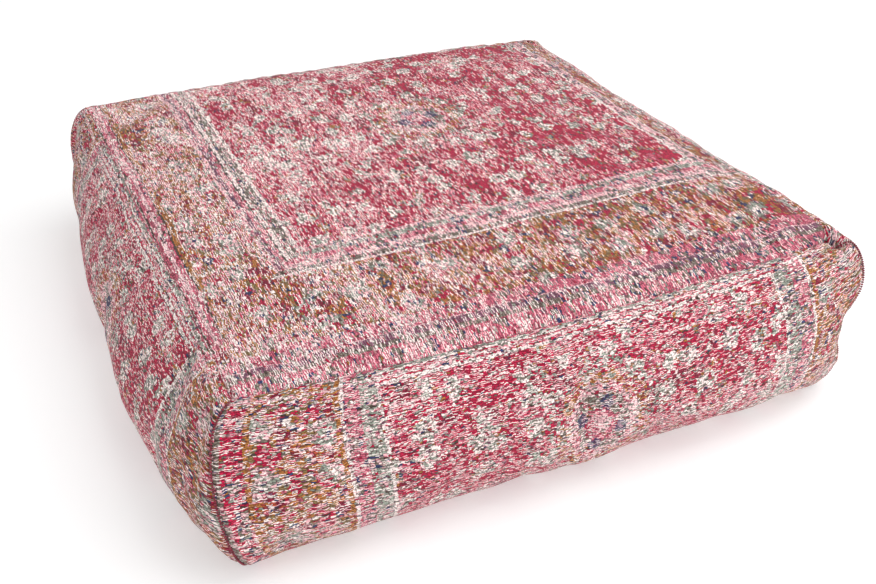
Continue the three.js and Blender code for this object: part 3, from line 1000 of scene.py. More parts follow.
@dataclass(frozen=True)
class CushionForm:
    """The stuffed shape of the cover: slumped walls, peaked corners and a low crown, in millimetres.

    Attributes:
        seam_half: Half the length of the square of the top seams.
        seam_height: How high that square stands.
        crown: How far the top swells above it.
        base_half: Half the length of the square of the base seams.
        wall_length: A wall's length down its curve.
        zip_height: How high the zip runs.
        zip_hold: How far above and below the zip the back wall is held straight.
        core_half: Half the width of the shape that sink() shrinks.
        core_height: The height of its middle.
        zip_flat: The share of the back wall's width that is straight.
        corners: The corners, from the front left one to the back left one.
        walls: The walls, in the order of Side.
        dents: The dents.
    """

    seam_half: float = 300.0
    seam_height: float = 147.0
    crown: float = 10.0
    base_half: float = 294.0
    wall_length: float = 192.0
    zip_height: float = 69.0
    zip_hold: float = 26.0
    core_half: float = 346.0
    core_height: float = 80.0
    zip_flat: float = 0.78
    corners: tuple[Corner, ...] = (
        Corner((4.6, 2.3, 0.0), (56.0, 10.0), (36.0, 110.0), (4.0, -9.0)),
        Corner((3.7, 0.0, 21.5), (62.0, 14.0), (22.0, 46.0), (-3.0, -5.0)),
        Corner((-3.0, 8.3, 9.0), (78.0, 50.0), (26.0, 26.0), (0.0, 0.0)),
        Corner((0.0, -0.8, 14.0), (41.0, 26.0), (25.0, 40.0), (1.0, 0.8)),
    )
    walls: tuple[Wall, ...] = (
        Wall(38.0, 95.0, 0.0, 5.4, 7.6),
        Wall(77.0, 75.0, -0.1, -4.0, -0.7),
        Wall(65.0, 71.0, 0.0, -0.2, -2.3, 20.0, 8.0),
        Wall(27.0, 120.0, 0.3, -2.3, 4.8),
    )
    dents: tuple[Dent, ...] = (
        Dent((303.0, -298.0, 170.0), 9.0, (-8.0, 8.0, -27.0)),
        Dent((334.0, -322.0, 72.0), 28.0, (-19.0, 6.0, 0.0)),
        Dent((-322.0, -268.0, 128.0), 24.0, (-5.0, 0.0, 1.0)),
    )

    def wall(self, side: Side, u: np.ndarray, v: np.ndarray) -> np.ndarray:
        """Places points of a wall.

        Args:
            side: Which wall.
            u: -1 to 1 from left to right as one faces it.
            v: 0 to 1 down the curve's own parameter, from the top seam to the base seam.

        Returns:
            Rows x, y, z in millimetres.
        """
        return self._dented(self._smooth_wall(side, u, v))

    def _dented(self, points: np.ndarray) -> np.ndarray:
        """Pushes points in or out at the form's dents, and keeps them above the floor."""
        moved = points.copy()
        for dent in self.dents:
            gap = np.linalg.norm(points - np.array(dent.place), axis=-1, keepdims=True)
            moved = moved + bell(gap, dent.reach) * np.array(dent.push)
        moved[..., 2] = np.maximum(moved[..., 2], 0.0)
        return moved

    def _smooth_wall(self, side: Side, u: np.ndarray, v: np.ndarray) -> np.ndarray:
        """Places points of a wall as wall() does, without its dents."""
        u, v = u.reshape(-1, 1), v.reshape(-1, 1)
        points = self._place(side, u, v, 1.0)
        if side is Side.BACK:
            straight = self._place(side, u, v, 0.0)
            near = bell(straight[:, 2:] - self.zip_height, self.zip_hold) * smooth_fall((np.abs(u) - 0.74) / 0.23)
            points = straight * near + points * (1 - near)
        points[:, 2] = np.maximum(points[:, 2], 0.0)
        return points

    def _place(self, side: Side, u: np.ndarray, v: np.ndarray, loose: float) -> np.ndarray:
        """Places points of a wall, with its seams slumped (loose 1) or straight (loose 0)."""
        turn = side.value
        wall = self.walls[turn]
        left, right = self.corners[turn], self.corners[(turn + 1) % 4]
        angle = turn * math.pi / 2
        along = np.array([round(math.cos(angle)), round(math.sin(angle)), 0.0])
        out = np.array([round(math.sin(angle)), -round(math.cos(angle)), 0.0])
        up = np.array([0.0, 0.0, 1.0])
        across, lengthways = (1, 0) if turn % 2 == 0 else (0, 1)
        f = (1 + u) / 2
        top = u * self.seam_half * along + self.seam_half * out + self.seam_height * up
        top = top + loose * ((1 - f) * np.array(left.seam) + f * np.array(right.seam))
        top = top + loose * (1 - u**2) * (wall.bow * out - wall.sag * up)
        base = u * self.base_half * along + self.base_half * out
        base = base + loose * ((1 - f) * np.array([*left.base, 0.0]) + f * np.array([*right.base, 0.0]))
        share = self._share(side, u)
        lean = 1 + wall.lean * u
        end = np.sign(u) * np.abs(u) ** 3
        points = (1 - v) ** 3 * top + v**3 * base
        for weight, anchor, rise, reach, ends in (
            (3 * (1 - v) ** 2 * v, top, -wall.drop, wall.shoulder, [c.shoulder for c in (left, right)]),
            (3 * (1 - v) * v**2, base, wall.lift, wall.belly, [c.foot for c in (left, right)]),
        ):
            swell = (ends[0][across] * (1 - f) + ends[1][across] * f) * (1 - share) + reach * lean * share
            sideways = (ends[0][lengthways] * (1 - f) + ends[1][lengthways] * f) * end
            points = points + weight * (anchor + swell * out + sideways * along + rise * up)
        return points

    def _share(self, side: Side, u: np.ndarray) -> np.ndarray:
        """How much of the wall's middle swell a place on it takes. The back wall is straight at its zip."""
        if side is not Side.BACK:
            return 1 - np.abs(u) ** 3
        return smooth_fall((np.abs(u) - self.zip_flat) / (1 - self.zip_flat))

    def wall_by_length(self, side: Side, u: np.ndarray, share: np.ndarray) -> np.ndarray:
        """Places points of a wall by how far down the cloth they are.

        Args:
            side: Which wall.
            u: -1 to 1 from left to right, for each column.
            share: 0 to 1 down the length of the cloth, for each row.

        Returns:
            An array of columns, rows and x, y, z in millimetres.
        """
        fine = np.linspace(0, 1, 120)
        columns = []
        for place in u:
            line = self.wall(side, np.full(len(fine), place), fine)
            length = lengths_along(line)
            middle = 0.5
            if side is Side.BACK:
                crossing = float(np.interp(-self.zip_height, -line[:, 2], length)) / length[-1]
                middle += (crossing - 0.5) * self._share(side, place)
            rows = np.interp(share, (0, 0.5, 1), (0, middle, 1))
            v = np.interp(rows * length[-1], length, fine)
            columns.append(self.wall(side, np.full(len(share), place), v))
        return np.array(columns)

    def top(self, s: np.ndarray, t: np.ndarray) -> np.ndarray:
        """Places points of the top panel.

        Args:
            s: -1 to 1 from left to right, for each column.
            t: -1 to 1 from front to back, for each row.

        Returns:
            An array of columns, rows and x, y, z in millimetres.
        """
        sheet = self._patch(s, t, 0.0)
        sheet[:, :, 2] += self.crown * (1 - s**4)[:, None] * (1 - t**4)[None]
        return self._dented(sheet)

    def base(self, s: np.ndarray, t: np.ndarray) -> np.ndarray:
        """Places points of the base panel, as top() does."""
        sheet = self._patch(s, t, 1.0)
        sheet[:, :, 2] = 0.0
        return self._dented(sheet)

    def _patch(self, s: np.ndarray, t: np.ndarray, v: float) -> np.ndarray:
        """Spans the loop of the four walls' edges at v with a smooth patch."""
        edge = np.full(1, v)
        front, back = (self._smooth_wall(side, x, edge)[:, None] for side, x in ((Side.FRONT, s), (Side.BACK, -s)))
        left, right = (self._smooth_wall(side, y, edge)[None] for side, y in ((Side.LEFT, -t), (Side.RIGHT, t)))
        a, b = ((1 + s) / 2)[:, None, None], ((1 + t) / 2)[None, :, None]
        return ((1 - b) * front + b * back + (1 - a) * left + a * right
                - (1 - a) * (1 - b) * front[:1] - a * (1 - b) * front[-1:]
                - (1 - a) * b * back[:1] - a * b * back[-1:])

    def sink(self, points: np.ndarray, depth: float) -> np.ndarray:
        """Moves points of the surface to the shell at the given depth below it, all in millimetres."""
        sunk = points.copy()
        sunk[..., :2] *= 1 - depth / self.core_half
        sunk[..., 2] = self.core_height + (points[..., 2] - self.core_height) * (1 - depth / self.core_height)
        return sunk


# ---- The cover ------------------------------------------------------------------------------------------


# How far from a seam the grid's lines beside it lie, in millimetres.
SEAM_LINES = (0.0, 2.0, 4.5, 8.0, 12.5)


def stations(half: float, step: float, fixed: tuple[float, ...] = ()) -> np.ndarray:
    """Lays out grid lines over a length of cloth, closer together beside its two seams.

    Args:
        half: Half the length in millimetres.
        step: The spacing away from the seams.
        fixed: Lines that must be there, as distances from the middle.

    Returns:
        Places from -1 to 1.
    """
    edges = [sign * (half - x) for x in SEAM_LINES for sign in (-1, 1)]
    inner = half - SEAM_LINES[-1]
    count = max(2, round(2 * inner / step))
    lines = list(np.linspace(-inner, inner, count + 1)[1:-1])
    pinned = sorted({s * f for f in fixed for s in (-1, 1)})
    lines = [x for x in lines if all(abs(x - p) > step * 0.45 for p in pinned)]
    return np.array(sorted(set(edges + lines + pinned))) / half


class PanelName(Enum):
    """The cover's panels with the numbers their faces carry on the whole skin."""

    TOP = 0
    FRONT = 1
    RIGHT = 2
    BACK = 3
    LEFT = 4
    BASE = 5

    @property
    def is_wall(self) -> bool:
        """Whether the panel is a wall."""
        return self not in (PanelName.TOP, PanelName.BASE)


@dataclass
class Skin:
    """The whole cover as one closed cloth: shaped, blown out by its filling, then cut into its panels.

    Attributes:
        form: The stuffed shape.
        step: The cloth grid's spacing in millimetres.
        slot_half: Half the height of the zip's slot.
        zip_half: Half its length.
        puff: How far the cloth may move when it is blown out, in millimetres.
        frames: For how many frames it is blown out.
        held_edge: How far from a seam the cloth is held, less and less, in millimetres.
        held_zip: How far beyond the slot's ends and from its middle line it is held fully, and then fades.
    """

    form: CushionForm
    step: float = 9.0
    slot_half: float = 6.4
    zip_half: float = 214.0
    puff: float = 5.0
    frames: int = 20
    held_edge: float = 16.0
    held_zip: tuple[float, float, float] = (8.0, 18.0, 25.0)
    mesh: Mesh = field(init=False)

    def build(self) -> None:
        """Makes the closed skin and blows it out."""
        bm = bmesh.new()
        bm.loops.layers.uv.new("cloth")
        bm.faces.layers.int.new("panel")
        bm.verts.layers.float.new("grip")
        form = self.form
        wide = stations(form.seam_half, self.step, (self.zip_half,))
        tall = stations(form.wall_length / 2, self.step * 0.85, (0.0, self.slot_half, self.slot_half + 5.0))
        self._grid(bm, PanelName.TOP, wide, wide, form.top(wide, wide))
        self._grid(bm, PanelName.BASE, wide, wide, form.base(wide, wide)[:, ::-1])
        for side in Side:
            wall = form.wall_by_length(side, wide, (1 + tall) / 2)[:, ::-1]
            self._grid(bm, PanelName[side.name], wide, tall, wall)
        close_up(bm)
        skin = object_from(bm, "skin")
        self._blow_out(skin)
        self.mesh = skin.data
        bpy.data.objects.remove(skin)
        LOG.info("skin: %d vertices", len(self.mesh.vertices))

    def _grid(self, bm: BMesh, panel: PanelName, wide: np.ndarray, tall: np.ndarray,
              places: np.ndarray) -> None:
        """Adds one panel's grid to the skin.

        Args:
            bm: The skin.
            panel: Which panel.
            wide: The grid's columns from -1 to 1.
            tall: The grid's rows from -1 to 1, upwards on a wall.
            places: The columns' and rows' points in millimetres.
        """
        uv, tag = bm.loops.layers.uv["cloth"], bm.faces.layers.int["panel"]
        grip = bm.verts.layers.float["grip"]
        half_w, half_t = self.half_size(panel)
        found = add_grid(bm, places)
        flat = {vert: (wide[column] * half_w, tall[row] * half_t) for vert, (column, row) in found.items()}
        for vert, place in flat.items():
            vert[grip] = self._grip(panel, place, min(half_w - abs(place[0]), half_t - abs(place[1])))
        for face in {f for v in found for f in v.link_faces}:
            face[tag] = panel.value
            for loop in face.loops:
                loop[uv].uv = (flat[loop.vert][0] * MM, flat[loop.vert][1] * MM)

    def half_size(self, panel: PanelName) -> tuple[float, float]:
        """Half a flat panel's width and height in millimetres."""
        return self.form.seam_half, self.form.wall_length / 2 if panel.is_wall else self.form.seam_half

    def _grip(self, panel: PanelName, place: tuple[float, float], edge: float) -> float:
        """How firmly a point is held while the cover is blown out: 1 at seams, on the floor and at the zip."""
        if panel is PanelName.BASE:
            return 1.0
        held = max(0.0, 1 - edge / self.held_edge) ** 1.5
        if panel is PanelName.BACK:
            off_x = max(0.0, abs(place[0]) - self.zip_half - self.held_zip[0])
            off_z = max(0.0, abs(place[1]) - self.held_zip[1])
            held = max(held, 1 - math.hypot(off_x, off_z) / self.held_zip[2])
        return min(1.0, held)

    def _blow_out(self, skin: Object) -> None:
        """Runs the cloth, holds each point within the cap and leaves the result in the mesh.

        Args:
            skin: The closed skin.
        """
        rest = points_of(skin.data)
        self._simulate(skin)
        moved = points_of(skin.data) - rest
        length = np.linalg.norm(moved, axis=1, keepdims=True)
        points = rest + moved * np.minimum(1, self.puff * MM / np.maximum(length, 1e-9))
        grip = values_of(skin.data.attributes["grip"].data, "value", 1)
        lumps = ripple(rest, 0.075, 3) * 1.2 + ripple(rest, 0.16, 8) * 1.6
        points += normals_of(skin.data) * lumps[:, None] * (1 - grip) * MM
        points[:, 2] = np.maximum(points[:, 2], 0.0)
        move_points(skin.data, points)
        out = skin.data.attributes.new("out", "FLOAT_VECTOR", "POINT")
        out.data.foreach_set("vector", normals_of(skin.data).astype(np.float32).ravel())

    def _simulate(self, skin: Object) -> None:
        """Blows the cover out from inside, with its seams held and a little spare cloth in its panels."""
        group = skin.vertex_groups.new(name="held")
        for index, grip in enumerate(skin.data.attributes["grip"].data):
            if grip.value > 0:
                group.add([index], grip.value, "REPLACE")
        cloth = skin.modifiers.new("stuffing", "CLOTH")
        settings = cloth.settings
        settings.quality = 6
        settings.mass = 0.35
        settings.tension_stiffness = settings.compression_stiffness = 18
        settings.shear_stiffness = 6
        settings.bending_stiffness = 1.2
        settings.shrink_min = -0.018
        settings.use_pressure = True
        settings.uniform_pressure_force = 4.0
        settings.vertex_group_mass = "held"
        settings.effector_weights.gravity = 0
        cloth.collision_settings.use_collision = False
        scene = bpy.context.scene
        for number in range(self.frames):
            scene.frame_set(number + 1)
        settle(skin)
        scene.frame_set(1)

    def cut(self, panel: PanelName, half: int) -> BMesh:
        """Cuts one panel out of the skin.

        Args:
            panel: Which panel.
            half: 0 for the whole panel, 1 for what is above the zip's slot and -1 for what is below it.

        Returns:
            The panel as an open sheet.
        """
        bm = bmesh.new()
        bm.from_mesh(self.mesh)
        uv, tag = bm.loops.layers.uv["cloth"], bm.faces.layers.int["panel"]
        lost = [face for face in bm.faces if face[tag] != panel.value]
        for face in (f for f in bm.faces if half and f[tag] == panel.value):
            centre = sum((loop[uv].uv for loop in face.loops), Vector((0, 0))) / len(face.loops) * PER_METRE
            if half * centre.y <= (self.slot_half if abs(centre.x) < self.zip_half else 0):
                lost.append(face)
        bmesh.ops.delete(bm, geom=lost, context="FACES")
        return bm


# Each wall's share of pale dashes and the seed of its scatter.
WALL_CLOTHS = ((PanelName.FRONT, 0.39, 17.0), (PanelName.RIGHT, 0.37, 31.0), (PanelName.LEFT, 0.33, 59.0),
               (PanelName.BACK, 0.37, 43.0))


@dataclass
class Cover:
    """The cover's seven panels, each a sheet of cloth turned in along its seams.

    Attributes:
        skin: The blown-out skin that they are cut from.
        thickness: The rug cloth's thickness in millimetres.
        top_turn: How deep the top seams are drawn in.
        corner_turn: How deep the corner seams are, and the top seams' ends beside them.
        base_turn: How deep the base seams are.
        zip_turn: How deep the edges of the zip's slot are.
        turn_width: How wide the drawn-in edge is.
        turn_reach: How far from a corner a seam's depth changes.
        pucker: How far the cloth ripples beside a seam.
        pucker_length: Length of one ripple.
        pucker_width: How far from the seam the ripples fade out.
        zip_calm: How far from the zip's slot there are none.
    """

    skin: Skin
    thickness: float = 2.4
    top_turn: float = 1.3
    corner_turn: float = 5.6
    base_turn: float = 1.1
    zip_turn: float = 3.8
    turn_width: float = 3.2
    turn_reach: float = 30.0
    pucker: float = 0.9
    pucker_length: float = 22.0
    pucker_width: float = 11.0
    zip_calm: float = 26.0

    def build(self) -> None:
        """Cuts, turns in and dresses every panel."""
        # Chenille rug cloth, jacquard woven, then washed: dull and hairy, in dashes of colour that wear has broken
        # up with the pale warp, in patches and along whole threads.
        top = RugWeave(
            thread=2.0, float_length=4.0, warp_length=5.5, half_across=221.0, half_along=209.0,
            across=SIDE_STRIPES, far=FAR_SIDE_STRIPES, along=END_STRIPES, petal_reach=18.0, petal_size=7.5,
            worn=0.30, patchy=0.38, stray=0.14, fade=0.0007,
            streaks=(-187.0, -155.0, -144.0, -85.0, -71.0, 12.0), seed=3.0)
        self._panel("top_panel", PanelName.TOP, 0, top.material("rug_cloth_top"), (0.6, 0.6), (-40.0, -93.0))
        for panel, worn, seed in WALL_CLOTHS:
            # The same cloth from a finer run, cut with its ribs along the wall.
            weave = RugWeave(
                thread=1.55, float_length=3.1, warp_length=3.8, half_across=81.0, half_along=192.0,
                across=WALL_EDGE_STRIPES, far=WALL_EDGE_STRIPES, along=WALL_END_STRIPES, petal_reach=20.0,
                petal_size=6.5, worn=worn, patchy=0.17, stray=0.2, fade=0.0,
                streaks=(-20.0, 62.0, 85.3, 86.85), seed=seed)
            name = panel.name.lower()
            cloth = weave.material(f"rug_cloth_{name}")
            if panel is PanelName.BACK:
                for half, strip in ((1, "back_strip_upper"), (-1, "back_strip_lower")):
                    self._panel(strip, panel, half, cloth, (0.6, 0.095), (-16.0, 0.0))
            else:
                self._panel(f"{name}_panel", panel, 0, cloth, (0.6, 0.19), (-16.0, 0.0))
        # Undyed cotton canvas: matt, cream, with its even threads in clear relief and painted shade between them.
        canvas = PlainWeave("#D8CCB6", "#A2957F", 1.1, 0.25).material("cotton_canvas")
        self._panel("base_panel", PanelName.BASE, 0, canvas, (0.59, 0.59), (0.0, 0.0))

    def _panel(self, name: str, panel: PanelName, half: int, cloth: Material,
               flat: tuple[float, float], shift: tuple[float, float]) -> None:
        """Cuts one panel, turns its edges in, gives it its thickness and its pattern's place.

        Args:
            name: The piece's name, which is also its CAD node's.
            panel: Which panel of the skin.
            half: 0 for all of it, 1 or -1 for the strip above or below the zip.
            cloth: The material.
            flat: The cut's width and length in metres. Not used.
            shift: How far the pattern's middle lies from the panel's middle, in millimetres.
        """
        piece = object_from(self.skin.cut(panel, half), name)
        smooth = subdivide(piece)
        smooth.boundary_smooth = "PRESERVE_CORNERS"
        smooth.uv_smooth = "NONE"
        settle(piece)
        mesh = piece.data
        self._turn_in(mesh, self._flat_places(mesh), panel)
        self._lay_pattern(mesh, panel, shift)
        thicken(piece, self.thickness * MM).use_even_offset = False
        mesh.shade_smooth()
        finish_piece(piece, name, "cushion", cloth)

    def _flat_places(self, mesh: Mesh) -> np.ndarray:
        """Each vertex's place on the flat cloth in millimetres, from its UV map."""
        vertex = values_of(mesh.loops, "vertex_index", 1, np.int32).ravel()
        places = np.zeros((len(mesh.vertices), 2))
        places[vertex] = values_of(mesh.uv_layers["cloth"].data, "uv", 2) * PER_METRE
        return places

    def _turn_in(self, mesh: Mesh, place: np.ndarray, panel: PanelName) -> None:
        """Draws the cloth in along its seams and puckers it beside them.

        Args:
            mesh: The panel's mesh.
            place: Each vertex's place on the flat cloth.
            panel: Which panel.
        """
        half_w, half_t = self.skin.half_size(panel)
        gap_w, gap_t = half_w - np.abs(place[:, 0]), half_t - np.abs(place[:, 1])
        edge = np.minimum(gap_w, gap_t)
        beside, below = bell(gap_w, self.turn_width), bell(gap_t, self.turn_width)
        if panel is PanelName.BASE:
            depth = self.base_turn * np.maximum(beside, below)
        elif panel is PanelName.TOP:
            depth = np.maximum(self.top_depth(gap_t) * beside, self.top_depth(gap_w) * below)
        else:
            top_edge = np.where(place[:, 1] > 0, self.top_depth(gap_w), self.base_turn)
            depth = np.maximum(self.corner_depth(half_t + place[:, 1]) * beside, top_edge * below)
        if panel is PanelName.BACK:
            off_x = np.maximum(0, np.abs(place[:, 0]) - self.skin.zip_half)
            inner = np.where(off_x > 0, np.abs(place[:, 1]), np.abs(place[:, 1]) - self.skin.slot_half + 2.0)
            edge = np.minimum(edge, inner)
            depth = np.maximum(depth, self.zip_turn * bell(inner, 4.0))
        along = np.where(gap_w < gap_t, place[:, 1], place[:, 0])
        wave = np.sin(along / self.pucker_length * 2 * math.pi + 2.2 * np.sin(along / 61.0)) * 0.6
        wave += ripple(place * MM, 0.03, 5 + panel.value) * 0.7
        ripples = self.pucker * wave * bell(edge, self.pucker_width) * (edge > 0.5)
        if panel is PanelName.BACK:
            ripples *= 1 - bell(np.hypot(off_x, place[:, 1]), self.zip_calm)
        depth += ripples * (0.3 if panel is PanelName.BASE else 1.0)
        points = points_of(mesh)
        normals = values_of(mesh.attributes["out"].data, "vector", 3).astype(float)
        normals /= np.maximum(np.linalg.norm(normals, axis=1, keepdims=True), 1e-6)
        points -= normals * depth[:, None] * MM
        points[:, 2] = np.maximum(points[:, 2], 0.0)
        move_points(mesh, points)

    def top_depth(self, gap: np.ndarray) -> np.ndarray:
        """How deep a top seam is drawn in at a distance from the corner, in millimetres."""
        return self.top_turn + (self.corner_turn - self.top_turn) * bell(gap, self.turn_reach)

    def corner_depth(self, gap: np.ndarray) -> np.ndarray:
        """How deep a corner seam is drawn in at a distance up from the base seam, in millimetres."""
        return self.base_turn + (self.corner_turn - self.base_turn) * (1 - bell(gap, self.turn_reach))

    def _lay_pattern(self, mesh: Mesh, panel: PanelName, shift: tuple[float, float]) -> None:
        """Moves the UV map to the rug pattern's own middle, with x across the ribs and y along them."""
        layer = mesh.uv_layers["cloth"]
        uv = values_of(layer.data, "uv", 2) + np.array(shift, np.float32) * MM
        if panel.is_wall:
            uv = uv[:, ::-1]
        layer.data.foreach_set("uv", np.ascontiguousarray(uv).ravel())


# ---- Seams ----------------------------------------------------------------------------------------------


# CushionForm.sink() moves a point of the seams about this many times as far as the depth it is given.
SINK_GAIN = 1.25


@dataclass
class Seams:
    """The sewing: rows of stitches in the grooves between the panels.

    Attributes:
        form: The stuffed shape that the seams follow.
        cover: The cover, which says how deep each seam is drawn in.
        pitch: Length of a stitch with its gap, in millimetres.
        radius: The thread's radius.
        overlock: The pitch and the radius of the corner seams' thick overlocking, dark and thick enough to draw
            the corner crease's shadow as well.
        lift: How far that stands out of its groove.
    """

    form: CushionForm
    cover: Cover
    pitch: float = 4.2
    radius: float = 0.55
    overlock: tuple[float, float] = (2.4, 1.25)
    lift: float = 3.0

    def build(self) -> None:
        """Sews the top, base, corner and back seams."""
        # Spun polyester thread: a tight dark red twist with a slight sheen.
        thread = SpunThread("#8E2038", 1.4).material("sewing_thread")
        half = self.form.seam_half
        u = np.linspace(-0.985, 0.985, 160)
        for side in Side:
            name = side.name.lower()
            for place, v in (("top", 0.0), ("base", 1.0)):
                line = self.form.wall(side, u, np.full(len(u), v))
                depth = (self.cover.top_depth(half * (1 - np.abs(u))) if place == "top"
                         else np.full(len(u), self.cover.base_turn)) + 0.9
                self._stitch(f"thread_{place}_{name}", self._sunk(line, depth), thread, self.pitch, self.radius)
        # The corner seams' dark overlocking is thick, overlapping and lifted out of its groove: real thread that
        # also stands in for the shadow in the corner crease.
        share = np.linspace(0.01, 0.95, 90)
        for name, side in (("front_left", Side.LEFT), ("front_right", Side.FRONT),
                           ("back_right", Side.RIGHT), ("back_left", Side.BACK)):
            line = self.form.wall_by_length(side, np.ones(1), share)[0]
            depth = self.cover.corner_depth(self.form.wall_length * (1 - share)) - self.lift
            self._stitch(f"thread_corner_{name}", self._sunk(line, np.maximum(depth, 0.6)), thread, *self.overlock)
        for name, sign in (("left", 1), ("right", -1)):
            u = sign * np.linspace(0.745, 0.985, 40)
            line = self.form.wall_by_length(Side.BACK, u, np.array([0.5]))[:, 0]
            depth = np.full(len(u), self.cover.zip_turn)
            self._stitch(f"thread_back_{name}", self._sunk(line, depth), thread, self.pitch, self.radius)

    def _sunk(self, line: np.ndarray, depth: np.ndarray) -> np.ndarray:
        """Moves a seam line's points in by each one's own depth, in millimetres."""
        return np.array([self.form.sink(point, float(d) / SINK_GAIN) for point, d in zip(line, depth)])

    def _stitch(self, name: str, line: np.ndarray, thread: Material, pitch: float, radius: float) -> None:
        """Lays a row of stitches along a line.

        Args:
            name: The piece's name, which is also its CAD node's.
            line: The line's points in millimetres.
            thread: The material.
            pitch: Length of a stitch with its gap.
            radius: The thread's radius.
        """
        lengths = lengths_along(line)
        count = int(lengths[-1] / pitch)
        places = []
        for number in range(count):
            middle = (number + 0.5) * pitch
            near, far = (Vector([np.interp(d, lengths, line[:, k]) for k in range(3)])
                         for d in (middle - pitch * 0.4, middle + pitch * 0.4))
            turn = (far - near).to_track_quat("Z", "Y").to_matrix().to_4x4()
            size = Matrix.Diagonal((radius, radius, (far - near).length / 2, 1.0))
            places.append(Matrix.Scale(MM, 4) @ Matrix.Translation((near + far) / 2) @ turn @ size)
        finish_piece(object_from(repeat(bead(6, 5), places), name), name, "cushion", thread)


# ---- The zip --------------------------------------------------------------------------------------------


